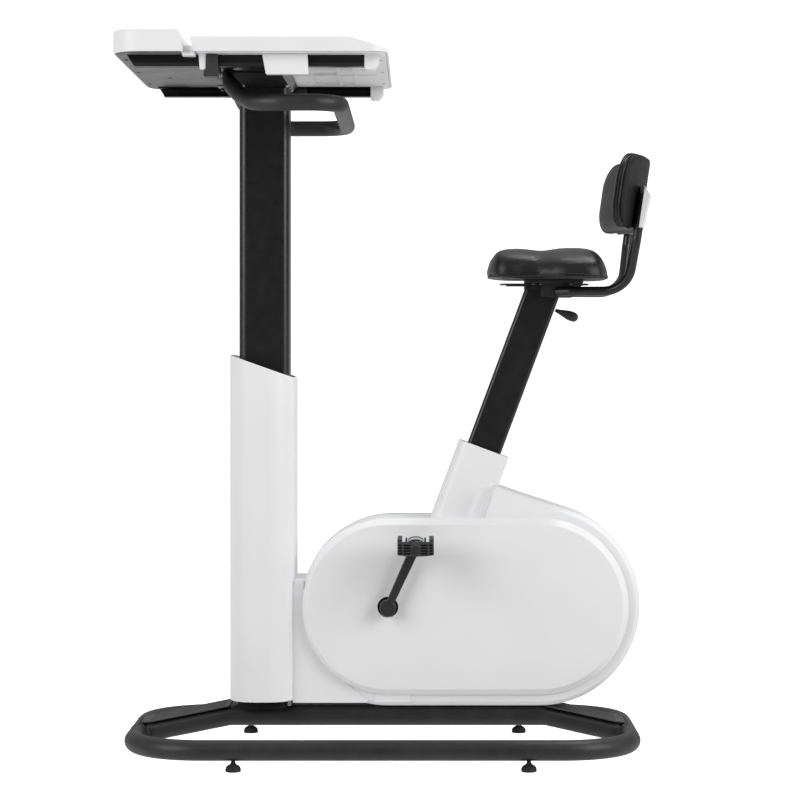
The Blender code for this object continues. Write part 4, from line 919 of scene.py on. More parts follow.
def opening_line(line, radius):
    """Each point of the line brought in to the oval of this radius."""
    ring = []
    for x, z in line:
        nearest = Vector((min(max(x, CRANK_AXIS[0]), WHEEL_AXIS[0]), CRANK_AXIS[1]))
        ring.append(tuple(nearest + (Vector((x, z)) - nearest).normalized() * radius))
    return ring


def build_housing():
    """Both half shells with their side covers, the neck over the spine and the shroud round the post."""
    line, limits = shell_line()
    wall = 0.003
    half = BODY_HALF_WIDTH
    for side, sign in SIDES:
        layers = [(inset(line, [distance * limit for limit in limits]), y) for distance, y in shell_layers()]
        layers += [(opening_line(line, 0.150), y) for y in (half, half - wall)]
        layers.append((inset(line, [0.015 * limit for limit in limits]), half - wall))
        layers += [(inset(line, wall), y) for y in (half - 0.018, 0.0002)]
        rings = [[(x, sign * y, z) for x, z in ring] for ring, y in layers]
        shell = combined(skin(rings, closed=True), seat_tube_space())
        add_piece(f"housing_{side}", shell, "moulded_white_abs", "stand", f"shell_{side}", angle=40)
        build_side_cover(side, sign)
    build_neck()
    build_sleeve()


def cover_line(radius, shift):
    """The side cover's oval, with its front round end moved back by a shift."""
    front = (CRANK_AXIS[0] + shift, CRANK_AXIS[1])
    left = arc(front, radius, 90, 270, 56)
    return left + arc(WHEEL_AXIS, radius, -90, 90, 56)


def build_side_cover(side, sign):
    """The raised side cover: a flat face, a sharp crease and a slanted border that narrows to the front."""
    layers = [(0.1700, 0.006, 0.0778), (POD_RADIUS, 0.006, 0.0778), (POD_RADIUS, 0.006, 0.0800)]
    layers += [(POD_RADIUS - 0.0006, 0.0058, 0.0812), (POD_RADIUS - 0.0020, 0.0052, 0.0829)]
    layers += [(POD_RADIUS - 0.0075, 0.0028, 0.0894), (POD_FACE_RADIUS + 0.0012, 0.0, 0.0960)]
    layers += [(POD_FACE_RADIUS, 0.0, 0.0968), (POD_FACE_RADIUS - 0.0015, 0.0, POD_FACE)]
    layers += [(POD_FACE_RADIUS - 0.004, 0.0, POD_FACE)]
    rings = [[(x, sign * y, z) for x, z in cover_line(radius, shift)] for radius, shift, y in layers]
    hole = slab([circle(CRANK_AXIS, 0.0205, 64)], (sign * 0.070, sign * 0.110))
    cover = combined(skin(rings), hole)
    add_piece(f"side_cover_{side}", cover, "moulded_white_abs", "stand", f"pod_{side}", angle=28)
    outer, inner, deep = 0.0228, 0.0203, -0.012
    collar = [(outer, 0.0), (outer, 0.0007), (0.0221, 0.0011), (0.0209, 0.0011), (inner, 0.0006)]
    collar += [(inner, deep), (outer, deep), (outer, 0.0)]
    centre = (CRANK_AXIS[0], sign * (POD_FACE - 0.0008), CRANK_AXIS[1])
    ring = turned(collar, centre, ACROSS * sign, 64)
    add_piece(f"crank_collar_{side}", ring, "moulded_white_abs", "stand")
    back = [(0, -0.014), (0.0215, -0.014), (0.0215, -0.0155), (0, -0.0155)]
    back = turned(back, centre, ACROSS * sign, 48)
    add_piece(f"crank_well_{side}", back, "moulded_black_nylon", "stand")


def build_neck():
    """The filler between the column cover and the round of the housing, and two tabs, over the spine."""
    low, top, half = 0.1078, 0.3512, 0.0795
    front = NECK_FRONT - 0.0036
    lowest, highest, inner = 258, 180, 0.1660
    outline = [(front, low), (-0.045, low)]
    for i in range(31):
        degrees = lowest - i * (lowest - highest) / 30
        share = clamped((degrees - 232) / 26)
        radius = inner + (BODY_RADIUS - 0.0090 - inner) * share**1.5
        turn = math.radians(degrees)
        outline.append((CRANK_AXIS[0] + radius * math.cos(turn), CRANK_AXIS[1] + radius * math.sin(turn)))
    outline += [(outline[-1][0], top), (front + 0.004, top), (front + 0.001, 0.3500), (front, 0.3470)]
    filler = slab([outline], (-half, half), "Y", 0.0010)
    add_piece("neck_filler", filler, "moulded_white_abs", "stand", "neck_cover")
    tab = [(-0.0340, 0.1085), (0.0400, 0.1085), (0.0400, 0.1290), (-0.0260, 0.1290)]
    tab = rounded(tab, (0.002, 0.002, 0.002, 0.004), 4)
    tabs = [slab([tab], (sign * 0.060, sign * half), "Y", 0.0012) for sign in (-1, 1)]
    add_piece("housing_tabs", joined(tabs), "moulded_white_abs", "stand")


def post_point(along, across, up):
    """A point in the seat post's leaning frame: fore and aft, sideways, and along its axis."""
    lean_x, lean_z = math.sin(POST_LEAN), math.cos(POST_LEAN)
    x, z = POST_AXIS
    return (x + up * lean_x + along * lean_z, across, z + up * lean_z - along * lean_x)


def post_ring(size, radius, up=None, height=None, steps=8):
    """A ring round the post's axis, square to it or level at a height."""
    ring = []
    lean_x, lean_z = math.sin(POST_LEAN), math.cos(POST_LEAN)
    for a, b in rectangle((-size[0] / 2, size[0] / 2), (-size[1] / 2, size[1] / 2), radius, steps):
        rise = up if height is None else (height - POST_AXIS[1] + a * lean_x) / lean_z
        ring.append(post_point(a, b, rise))
    return ring


def build_sleeve():
    """The shroud round the post, with a rolled rim, set down into the housing."""
    rim = (0.609 - POST_AXIS[1]) / math.cos(POST_LEAN)
    foot, spread = -0.192, 0.0110
    layers = [(0, foot, spread), (0, -0.130, 0.0075), (0, -0.060, 0.0030), (0, -0.0022, 0)]
    layers += [(0.0003, -0.0009, 0), (0.0012, 0, 0), (0.0022, 0, 0), (0.0030, -0.0010, 0)]
    rings = []
    for margin, below, flare in layers + [(0.0030, foot, spread)]:
        size = (0.106 - 2 * margin, 0.076 - 2 * margin + flare)
        rings.append(post_ring(size, 0.024 - margin, up=rim + below, steps=10))
    add_piece("sleeve_moulding", skin(rings, closed=True), "moulded_white_abs", "stand", "seat_sleeve")
    outer, inner, low, high = ((0.094, 0.062), 0.018), ((0.0722, 0.0422), 0.0072), rim - 0.010, rim - 0.007
    layers = ((outer, low), (outer, high), (inner, high), (inner, low))
    bush = skin([post_ring(*line, up=up) for line, up in layers], closed=True)
    add_piece("sleeve_bush", bush, "moulded_black_nylon", "stand")
    webs = joined([sleeve_web(sign) for sign in (-1, 1)])
    add_piece("sleeve_webs", webs, "moulded_white_abs", "stand", angle=50)


def sleeve_web(sign):
    """The hollow round from the shroud's flank out to the front edge of the housing's tail."""
    low, high = Vector((0.1747, 0, 0.4482)), Vector((0.2072, 0, 0.5360))
    forward = (high - low).normalized().cross(ACROSS)
    rim, full_reach, flank, edge, root = 0.0281, 0.046, 0.0392, 0.0745, ACROSS * sign * 0.030
    rings = []
    for i in range(33):
        share = i / 32
        fade = 1.0 if share < 0.60 else 1 - 0.80 * ((share - 0.60) / 0.40) ** 2
        corner = low.lerp(high, share)
        reach = full_reach * fade
        away = corner + forward * reach - Vector((POST_AXIS[0], 0, POST_AXIS[1]))
        depth = -(away.x * math.sin(POST_LEAN) + away.z * math.cos(POST_LEAN)) - rim
        inner = flank + max(0.0, depth - 0.060) * 0.0321
        outer = inner + (edge - inner) * fade
        ring = [corner + forward * reach + root]
        for k in range(21):
            near = k / 20
            bulge = ACROSS * sign * (inner + (outer - inner) * near**2.8)
            ring.append(corner + forward * reach * (1 - near) + bulge)
        back = corner - forward * 0.004
        rings.append(ring + [back + ACROSS * sign * outer, back + root])
    return skin(rings)


def build_drive():
    """The drive stays as the frame has it, in its own metals."""
    refinish("zinc_plated_steel", "drive_frame", "bearing_left", "bearing_right", "flywheel_axle")
    refinish("sand_cast_iron", "flywheel", "drive_pulley", "brake_magnets")
    refinish("ribbed_belt_neoprene", "drive_belt")


# Seat


def build_seat_post():
    """The leaning profile, its head with the track, and the lever."""
    foot, outer, inner = -0.330, (0.070, 0.040), (0.065, 0.035)
    rings = [post_ring((0.0684, 0.0384), 0.0067, up=foot), post_ring(outer, 0.0075, up=foot + 0.001)]
    rings += [post_ring(outer, 0.0075, height=POST_TOP), post_ring(inner, 0.005, height=POST_TOP)]
    rings.append(post_ring(inner, 0.005, up=foot))
    add_piece("post_profile", skin(rings, closed=True), "powder_coated_steel", "seat", "seat_post")
    forms = [block((0.268, 0.331), (-0.026, 0.026), (POST_TOP + 0.0003, TRACK_TOP - 0.0024), 0.003, 0.0008)]
    track = rectangle(TRACK_SPAN, (-0.028, 0.028), 0.010, 8)
    forms.append(slab([track], (TRACK_TOP - 0.003, TRACK_TOP), "Z", 0.0008))
    for sign in (-1, 1):
        edge, heights = (sign * 0.0205, sign * 0.0235), (TRACK_TOP - 0.0050, TRACK_TOP - 0.0020)
        forms.append(block((0.232, 0.384), edge, heights, 0.0012, 0.0006))
    add_piece("seat_track", joined(forms), "powder_coated_steel", "seat", "seat_head")
    build_lever()
    refinish("zinc_plated_steel", "seat_tube", "seat_spring", "seat_rod")


def build_lever():
    """A teardrop paddle with a crease along its flank."""
    root, tip = Vector((0.3305, 0, 0.8860)), Vector((0.3760, 0, 0.8690))
    up = (tip - root).normalized().cross(ACROSS)
    stations = [(0.00, 0.0032, 0.0050), (0.06, 0.0037, 0.0061), (0.20, 0.0050, 0.0074)]
    stations += [(0.36, 0.0070, 0.0094), (0.52, 0.0089, 0.0112), (0.66, 0.0099, 0.0124)]
    stations += [(0.77, 0.0100, 0.0126), (0.86, 0.0093, 0.0120), (0.93, 0.0076, 0.0100)]
    stations += [(0.975, 0.0052, 0.0070), (1.0, 0.0022, 0.0030)]
    rings = []
    for share, height, width in stations:
        centre = root.lerp(tip, share)
        ring = []
        for u, v in circle((0, 0), 1, 32):
            crease = 1 - 0.10 * math.exp(-(((v - 0.18) / 0.10) ** 2))
            ring.append(centre + up * height * v + ACROSS * width * u * crease)
        rings.append(ring)
    add_piece("lever_paddle", skin(rings), "moulded_black_nylon", "lever", "seat_lever", flat_first=False)


def saddle_half_width(t):
    """A broad rear lobe, a slight waist and a narrower front lobe."""
    front = 0.100 * math.exp(-(((t - 0.24) / 0.30) ** 4))
    rear = SADDLE_HALF_WIDTH * math.exp(-(((t - 0.73) / 0.36) ** 4))
    rounding, span = 1.0, 0.09
    for near_end in (t, 1 - t):
        if near_end < span:
            rounding = 0.50 + 0.50 * math.sqrt(max(0.0, 1 - (1 - near_end / span) ** 2))
    return rounding * (front**3.2 + rear**3.2) ** (1 / 3.2)


def saddle_low(t):
    """How low the cushion's edge hangs: it rises to the very front, and a little to the rear."""
    return 0.9478 + 0.0040 * max(0.0, 1 - t / 0.28) ** 2 + 0.0010 * max(0.0, (t - 0.88) / 0.12) ** 2


def saddle_x(t):
    """Where a share of the saddle's length lies."""
    return SADDLE_SPAN[0] + (SADDLE_SPAN[1] - SADDLE_SPAN[0]) * t


def smooth_height(t, knots):
    """A smooth curve through knots of (place, height)."""
    path = smooth_path([(place, height, 0) for place, height in knots], 12)
    for before, after in zip(path, path[1:]):
        if t <= after.x:
            return before.y + (after.y - before.y) * (t - before.x) / max(1e-9, after.x - before.x)
    return path[-1].y


SADDLE_CROWN = (
    (0, 0.9660), (0.012, 0.9745), (0.034, 0.9885), (0.058, 1.0000), (0.088, 1.0062), (0.130, 1.0085),
    (0.250, 1.0085), (0.360, 1.0060), (0.455, 1.0035), (0.580, 1.0085), (0.720, 1.0120), (0.800, 1.0118),
    (0.862, 1.0095), (0.907, 1.0040), (0.944, 0.9950), (0.972, 0.9830), (0.988, 0.9720), (1, 0.9600),
)


def saddle_ring(t, shrink):
    """A closed ring across the saddle: flat underside, sharp lip, bulging side and channelled crown."""
    length = SADDLE_SPAN[1] - SADDLE_SPAN[0]
    x = SADDLE_SPAN[0] + 0.0010 + (length - 0.0010 - shrink) * t
    width = saddle_half_width(t) - shrink
    top = smooth_height(t, SADDLE_CROWN) - shrink
    low = saddle_low(t) + 0.3 * shrink
    half = [(share * width, low) for share in (0, 0.31, 0.62, 0.86, 0.95)]
    half += [(width, low + 0.0010), (1.004 * width, low + 0.0034)]
    side = low + 0.0060
    roundness = 0.50 + 0.32 * eased((t - 0.46) / 0.24)
    channel = 0.0022 * math.exp(-(((t - 0.50) / 0.34) ** 2))
    for degrees in (8, 16, 24, 32, 40, 48, 56, 63, 70, 76, 82, 87):
        angle = math.radians(degrees)
        y = width * math.cos(angle) ** roundness
        dip = channel * math.exp(-((y / 0.024) ** 2))
        half.append((y, side + (top - side) * math.sin(angle) ** 0.92 - dip))
    half.append((0, top - channel))
    left = [(-y, z) for y, z in reversed(half[1:-1])]
    return [(x, y, z) for y, z in half + left]


def stuffed(form, held, cap):
    """Swells a form like leathercloth over foam. What is held stays, and the rest moves up to a cap."""
    scene = bpy.context.scene
    obj = linked("stuffing", as_mesh(form, "stuffing"))
    remesh = obj.modifiers.new("even mesh", "REMESH")
    remesh.mode = "VOXEL"
    remesh.voxel_size = 0.0045
    even = bpy.data.meshes.new_from_object(evaluated(obj))
    obj.modifiers.remove(remesh)
    obj.data = even
    pins = obj.vertex_groups.new(name="held")
    pins.add([vert.index for vert in even.vertices if held(vert.co)], 1.0, "REPLACE")
    start = [vert.co.copy() for vert in even.vertices]
    result = bmesh.new()
    cloth = obj.modifiers.new("cloth", "CLOTH")
    cloth.settings.quality = 6
    cloth.settings.mass = 0.3
    cloth.settings.tension_stiffness = 18
    cloth.settings.compression_stiffness = 18
    cloth.settings.bending_stiffness = 2.0
    cloth.settings.use_pressure = True
    cloth.settings.uniform_pressure_force = 4
    cloth.settings.vertex_group_mass = "held"
    cloth.settings.effector_weights.gravity = 0
    cloth.collision_settings.use_collision = False
    for number in range(1, 21):
        scene.frame_set(number)
    graph = bpy.context.evaluated_depsgraph_get()
    result.from_mesh(obj.evaluated_get(graph).to_mesh())
    for vert, place in zip(result.verts, start):
        move = vert.co - place
        if move.length > cap:
            vert.co = place + move.normalized() * cap
    scene.frame_set(1)
    bpy.data.objects.remove(obj, do_unlink=True)
    free = [vert for vert, place in zip(result.verts, start) if not held(place)]
    for _ in range(6):
        bmesh.ops.smooth_vert(
            result, verts=free, factor=0.5, use_axis_x=True, use_axis_y=True, use_axis_z=True
        )
    bmesh.ops.recalc_face_normals(result, faces=result.faces)
    return result


def add_cushion(name, form, node):
    """A stuffed form as a soft piece of the saddle unit, smoothed once, which stands for a node."""
    cushion = add_piece(
        name, form, "embossed_leathercloth", "saddle_unit", node, angle=80, flat_first=False
    )
    cushion.modifiers.new("smooth", "SUBSURF").render_levels = 1


def saddle_seam(sign):
    """The seam low on the saddle's flank, where its cover is drawn under."""
    line = []
    for i in range(41):
        t = 0.40 + 0.42 * i / 40
        drawn = 0.0035 * abs(2 * i / 40 - 1) ** 3
        y = saddle_half_width(t) + 0.0004 - drawn
        line.append((saddle_x(t), sign * y, saddle_low(t) + 0.0082 - drawn))
    return line


def build_saddle():
    """The cushion with its seams, the pan it sits on, and the base under it."""
    count, shrink = 56, 0.0022
    rings = [saddle_ring(0.5 - 0.5 * math.cos(math.pi * i / count), shrink) for i in range(count + 1)]
    cushion = stuffed(skin(rings), lambda place: place.z < 0.9525, 0.0040)
    add_cushion("saddle_cushion", cushion, "saddle")
    seams = joined([rod(saddle_seam(sign), 0.0008, False, 3) for sign in (-1, 1)])
    add_piece("saddle_seams", seams, "piping_vinyl", "saddle_unit", flat_first=False)
    rings = []
    for i in range(41):
        t = 0.012 + 0.976 * (0.5 - 0.5 * math.cos(math.pi * i / 40))
        reach, low = saddle_half_width(t) - 0.0085, saddle_low(t)
        line = [(-reach, low), (-reach * 0.97, low - 0.0008), (reach * 0.97, low - 0.0008), (reach, low)]
        line += [(reach, low + 0.0040), (-reach, low + 0.0040)]
        rings.append([(saddle_x(t), y, z) for y, z in line])
    add_piece("saddle_pan", skin(rings), "moulded_black_nylon", "saddle_unit")
    build_saddle_base()


def build_saddle_base():
    """The plate under the saddle, the lips round the track, and the bolts through them."""
    low, high = TRACK_TOP + 0.0003, SADDLE_PAN - 0.0006
    forms = [block((0.269, 0.385), (-0.046, 0.046), (low, high), 0.010, 0.0012)]
    front, rear, foot, top = 0.300, 0.366, 0.9117, low + 0.003
    lip = rounded([(front, foot), (rear, foot), (rear, top), (front, top)], 0.003, 4)
    forms += [slab([lip], (sign * 0.0346, sign * 0.0286), "Y", 0.0008) for sign in (-1, 1)]
    add_piece("saddle_mount", joined(forms), "moulded_black_nylon", "saddle_unit", "saddle_base")
    places = []
    for x in (0.286, 0.300, 0.360):
        places += [((x, sign * 0.0400, low), (0, 0, -1)) for sign in (-1, 1)]
    bolts = set_at(hexagon_bolt(0.0032), places)
    add_piece("saddle_bolts", bolts, "powder_coated_steel", "saddle_unit")


# Backrest


def backrest_back(y, z):
    """Where the backrest's back lies: it curves forward to both sides and leans back."""
    bend = 0.100
    forward = 0.505 * (math.hypot(y, bend) - bend)
    return BACKREST_BACK - forward + (z - BACKREST_MIDDLE) * math.tan(BACKREST_LEAN)


def dense(outline, spacing):
    """The outline with points added so that none are further apart than the spacing."""
    points = []
    for i, point in enumerate(outline):
        here, ahead = Vector(point), Vector(outline[(i + 1) % len(outline)])
        count = max(1, math.ceil((ahead - here).length / spacing))
        points += [tuple(here.lerp(ahead, k / count)) for k in range(count)]
    return points


def backrest_ring(margin, forward):
    """A ring of the backrest, brought in by a margin and lying forward of its back."""
    half = BACKREST_HALF_WIDTH - margin
    low, high = BACKREST_HEIGHTS[0] + margin, BACKREST_HEIGHTS[1] - margin
    outline = dense(rectangle((-half, half), (low, high), BACKREST_CORNER - margin, 16), 0.008)
    return [(backrest_back(y, z) - forward, y, z) for y, z in outline]


def capped_layers(layers, crown):
    """Rings of the backrest, closed on both sides by rings that shrink to the middle. The front swells."""
    levels = 12

    def closing(layer, swell_by, steps):
        margin, forward = layer
        rings = []
        for i in steps:
            share = 1 - i / levels
            swell = swell_by * (1 - share**2) ** 0.75
            ring = []
            for _, y, z in backrest_ring(margin, forward):
                inner_y, inner_z = y * share, BACKREST_MIDDLE + (z - BACKREST_MIDDLE) * share
                ring.append((backrest_back(inner_y, inner_z) - forward - swell, inner_y, inner_z))
            rings.append(ring)
        return rings

    rings = closing(layers[0], 0.0, range(levels, 0, -1))
    rings += [backrest_ring(*layer) for layer in layers]
    form = skin(rings + closing(layers[-1], crown, range(1, levels + 1)), capped=False)
    bmesh.ops.remove_doubles(form, verts=form.verts, dist=1e-6)
    bmesh.ops.holes_fill(form, edges=form.edges, sides=0)
    bmesh.ops.recalc_face_normals(form, faces=form.faces)
    return form


def build_backrest(sizes):
    """The pad with its border and piping, the moulded cover behind it, its bracket and both tubes."""
    layers = [(0.010, 0.0063), (0.0035, 0.0064), (0.0012, 0.0080), (0.0010, 0.0110), (0.0012, 0.0170)]
    layers += [(0.0022, 0.0200), (0.0048, 0.0228), (0.0095, 0.0250), (0.0160, 0.0268)]
    pad = capped_layers(layers, sizes.pad_crown)
    add_cushion("backrest_cushion", stuffed(pad, against_shell, 0.0045), "backrest_pad")
    band = [(0.0012, 0.0090), (0.0009, 0.0140), (0.0012, 0.0190), (0.0060, 0.0215)]
    band += [(0.0075, 0.0190), (0.0075, 0.0080)]
    border = skin([backrest_ring(*layer) for layer in band], closed=True)
    add_piece("backrest_border", border, "embossed_leathercloth", "saddle_unit", flat_first=False)
    ridges = ((0.0004, 0.0092), (0.0, 0.0140), (0.0004, 0.0188))
    piping = joined([rod(backrest_ring(*layer), 0.0009, True, 3) for layer in ridges])
    add_piece("backrest_piping", piping, "piping_vinyl", "saddle_unit", flat_first=False)
    layers = [(0.0080, 0.0062), (0.0035, 0.0060), (0.0028, 0.0046), (0.0034, 0.0030), (0.0052, 0.0014)]
    layers += [(0.0085, 0.0005), (0.0150, 0.0)]
    cover = {"angle": 60, "flat_first": False}
    back = capped_layers(layers, 0.0)
    add_piece("backrest_cover", back, "grained_polypropylene", "saddle_unit", "backrest_shell", **cover)
    build_bracket()
    build_backrest_tubes()


def against_shell(place):
    """Whether a point of the pad lies on its shell or in its border."""
    return backrest_back(place.y, place.z) - place.x < 0.0190


def build_bracket():
    """The clamp behind the backrest, which closes round the tops of both tubes, with four screws."""
    count, reach = 26, 0.1315
    low, crest, top = 1.0445, 1.1095, 1.1275
    rings = []
    for i in range(count + 1):
        y = reach * (2 * i / count - 1)
        trim = 0.0022 * max(0.0, (abs(y) - 0.1275) / 0.004)
        upper, lower = [bracket_back(y, z) - drop for z, drop in ((crest, 0.0010), (low, 0.0060))]
        wrap = eased((abs(y) - 0.095) / 0.030)
        front = []
        for z, behind in ((low, 0.4875), (top, 0.4990)):
            on_shell = backrest_back(y, z) + 0.0006
            front.append(on_shell + wrap * max(0.0, behind - on_shell))
        ring = [(front[0], y, low + trim), (front[1], y, top - trim)]
        ring += [(upper - 0.0135, y, top - trim), (upper - 0.0118, y, top - 0.0012 - trim)]
        ring += [(upper - trim - 0.0006, y, crest + 0.0016), (upper - trim, y, crest - 0.0012)]
        ring += [(lower - trim, y, low + 0.0020 + trim), (lower - 0.0014 - trim, y, low + 0.0004 + trim)]
        rings.append(ring + [(lower - 0.0040 - trim, y, low + trim)])
    add_piece("bracket_plate", skin(rings), "moulded_white_abs", "saddle_unit", "backrest_bracket")
    places = []
    for z in (1.064, 1.096):
        for y in (-0.060, 0.060):
            face = bracket_back(y, z) - 0.0035 + (z - 1.08) * 0.077
            places.append(((face - 0.0004, y, z), (1, y, -0.20)))
    screws = set_at(crossed_screw(0.0042), places)
    add_piece("bracket_screws", screws, "zinc_plated_steel", "saddle_unit")


def bracket_back(y, z):
    """Where the bracket's bowed back would lie if it ran parallel to the backrest's."""
    return backrest_back(0, z) + 0.010 - 0.5 * y**2


def build_backrest_tubes():
    """Each tube comes out of a lip, turns back under the saddle and bends up behind the backrest."""
    lean = math.tan(BACKREST_LEAN)
    apart, rear, level = 0.120, 0.4695, TUBE_HEIGHT + 0.0015
    for side, sign in SIDES:
        corners = [(0.3335, sign * 0.0349, level), (0.3560, sign * 0.0480, level)]
        corners += [(rear, sign * 0.0680, level), (rear + lean * 0.095, 0.96 * sign * apart, level + 0.095)]
        corners.append((rear + lean * 0.191, sign * apart, TUBE_HEIGHT + 0.191))
        tube = rod(filleted(corners, (0.018, 0.060, 0.040), 14), 0.0095, False, 8)
        node = f"backrest_tube_{side}"
        add_piece(f"bent_{node}", tube, "powder_coated_steel", "saddle_unit", node, flat_first=False)
    strap, z = [], 1.0500
    for i in range(-12, 13):
        y = apart * i / 12
        strap.append((backrest_back(y, z) - 0.006, y, z - 0.002))
    add_piece("backrest_strap", rod(strap, 0.0048, False, 5), "moulded_black_nylon", "saddle_unit")


# Cranks and pedals


def crank_tip(sign):
    """The pedal's axis at rest. The left crank points up and back, and the right one down and forward."""
    reach = -sign * CRANK_LENGTH
    x, z = CRANK_AXIS
    return (x + reach * math.sin(CRANK_LEAN), z + reach * math.cos(CRANK_LEAN))


def build_cranks():
    """The arm, its boss and eye, and the pedal with its pin, on both sides."""
    face = 0.1262
    for side, sign in SIDES:
        tip = crank_tip(sign)
        reach = Vector(tip) - Vector(CRANK_AXIS)
        angle = math.degrees(math.atan2(reach.y, reach.x))
        outline = arc(CRANK_AXIS, 0.0078, angle + 100, angle + 260, 20)
        outline += arc(tip, 0.0100, angle - 90, angle + 90, 20)
        arm = slab([outline], (sign * 0.1115, sign * 0.1240), "Y", 0.0026)
        boss = [(0, face), (0.0112, face), (0.0118, 0.1259), (0.0121, 0.1252), (0.0126, 0.1252)]
        boss += [(0.0132, 0.1257), (0.0140, 0.1257), (0.0148, 0.1252), (0.0157, 0.1232), (0.0160, 0.1205)]
        boss += [(0.0160, 0.1010), (0.0152, 0.0990), (0, 0.0990)]
        eye = [(0, face), (0.0058, face), (0.0064, 0.1256), (0.0064, 0.1180), (0, 0.1180)]
        pin = [(0, 0.2215), (0.0040, 0.2215), (0.0055, 0.2200), (0.0055, 0.1230), (0, 0.1230)]
        middle, end = (CRANK_AXIS[0], 0, CRANK_AXIS[1]), (tip[0], 0, tip[1])
        forms = [arm, turned(boss, middle, ACROSS * sign, 64), turned(eye, end, ACROSS * sign, 32)]
        add_piece(f"crank_arm_{side}", joined(forms), "textured_steel_tube", "crankset", f"crank_{side}")
        pin = turned(pin, end, ACROSS * sign, 32)
        add_piece(f"pedal_pin_{side}", pin, "zinc_plated_steel", "crankset")
        build_pedal(side, sign, tip)
    refinish("zinc_plated_steel", "crank_spindle")


def pedal_plate(x, z, span, rows):
    """An end plate of the pedal, bowed along its bottom, with rows of slots on both sides of its middle."""
    half, low, pitch = 0.0350, z - 0.0108, 0.0053
    high = low + 0.0066 + rows * pitch
    outline = [(x - half, low + 0.0026), (x - 0.020, low + 0.0004), (x, low - 0.0002)]
    outline += [(x + 0.020, low + 0.0004), (x + half, low + 0.0026), (x + half, high), (x - half, high)]
    holes = []
    for row in range(rows):
        level = z - 0.0072 + row * pitch
        for sign in (-1, 1):
            for near, far in ((0.0095, 0.0236), (0.0262, 0.0330)):
                x_span = (x + sign * near, x + sign * far)
                holes.append(rectangle(x_span, (level, level + 0.0034), 0.0012, 2))
    return slab([rounded(outline, 0.0016, 3), *holes], span, "Y", 0.0002)


def arch(x, z, radius, half, low):
    """The outline of a flat-bottomed arch round a pedal's axis."""
    turn = math.degrees(math.acos(half / radius))
    top = arc((x, z), radius, turn, 180 - turn, 24)
    return top + [(x - half, low), (x + half, low)]


def build_pedal(side, sign, tip):
    """An open cage: two slotted end plates, toothed side rails, a barrel and its bright middle parts."""
    x, z = tip
    near, far = PEDAL_MIDDLE - 0.049, PEDAL_MIDDLE + 0.049
    name, body = f"pedal_{side}", f"{side}_pedal"

    def across(low, high):
        return (sign * low, sign * high)

    plates = [pedal_plate(x, z, across(far, far - 0.0060), 4)]
    plates.append(pedal_plate(x, z, across(near, near + 0.0060), 2))
    for end in (-1, 1):
        rail_x = (x + end * 0.0350, x + end * 0.0262)
        tooth_x = (x + end * 0.0165, x + end * 0.0200)
        rail = rectangle(rail_x, (z - 0.0078, z + 0.0180), 0.002, 3)
        plates.append(slab([rail], across(near + 0.010, far - 0.0105), "Y", 0.0010))
        for i in range(8):
            y = near + 0.0050 + i * 0.0124
            tooth_y = across(y - 0.0034, y + 0.0034)
            plates.append(block(rail_x, tooth_y, (z + 0.0165, z + 0.0222), 0.0008, 0.0007))
        for y in (near + 0.016, far - 0.016):
            tooth_y = across(y - 0.0016, y + 0.0016)
            plates.append(block(tooth_x, tooth_y, (z - 0.006, z + 0.0196), 0.001, 0.0006))
    add_piece(f"plates_{name}", joined(plates), "glass_filled_nylon", body, name)
    cage = []
    for ends, high in (((far - 0.0075, far - 0.0100), 0.0125), ((near + 0.0075, near + 0.0100), 0.0020)):
        cage.append(block((x - 0.0340, x + 0.0340), across(*ends), (z - 0.0080, z + high), 0.002, 0.0005))
    bore, wall = 0.0066, 0.0092
    sleeve = [(bore, near + 0.004), (wall, near + 0.004), (0.0096, near + 0.006), (0.0096, far - 0.002)]
    sleeve += [(wall, far + 0.0004), (0, far + 0.0006), (0, far - 0.006), (bore, far - 0.006)]
    cage.append(turned(sleeve + sleeve[:1], (x, 0, z), ACROSS * sign, 40))
    band = arch(x, z - 0.0035, 0.0252, 0.0152, z + 0.0060)
    for y in (near + 0.0065, far - 0.0110):
        cage.append(slab([band], across(y, y + 0.0024), "Y", 0.0004))
    small = arch(x, z + 0.0112, 0.0092, 0.0090, z + 0.0060)
    cage.append(slab([small], across(far - 0.0075, far - 0.0062), "Y", 0.0003))
    add_piece(f"cage_{name}", joined(cage), "moulded_black_nylon", body)
    drum = arch(x, z - 0.0035, 0.0240, 0.0145, z + 0.0065)
    collar = arch(x, z + 0.0108, 0.0080, 0.0078, z + 0.0062)
    rim = arch(x, z - 0.0025, 0.0218, 0.0140, z + 0.0065)
    bright = [slab([drum], across(near + 0.0095, far - 0.0115), "Y", 0.0012)]
    bright.append(slab([collar], across(far - 0.0063, far - 0.0050), "Y", 0.0006))
    bright.append(slab([rim], across(far - 0.0088, far - 0.0076), "Y", 0.0006))
    add_piece(f"bright_{name}", joined(bright), "zinc_plated_steel", body)


# Desk


def desk_ring(margin, height):
    """A ring round the desk's outline, brought in by a margin."""
    front, rear, side = DESK_SPAN[0] + margin, DESK_SPAN[1] - margin, DESK_HALF_WIDTH - margin
    corners = [(front, -side), (rear, -side), (rear, side), (front, side)]
    radii = [radius - margin for radius in (0.055, 0.035, 0.035, 0.055)]
    return [(x, y, height) for x, y in rounded(corners, radii, 16)]


def desk_body(top, edge):
    """The desk's whole outline up to a height, with rounded edges and a recess below for its panels."""
    low = DESK_BOTTOM
    layers = [(0.0060, 1.3680), (0.0045, 1.3678), (0.0042, low + 0.0010), (0.0036, low + 0.0002)]
    layers += [(0.0012, low), (0.0004, low + 0.0005), (0.0, low + 0.0018)]
    for i in range(7):
        angle = math.radians(90 * i / 6)
        layers.append((edge * (1 - math.cos(angle)), top - edge + edge * math.sin(angle)))
    return skin([desk_ring(*layer) for layer in layers + [(edge + 0.004, top)]])


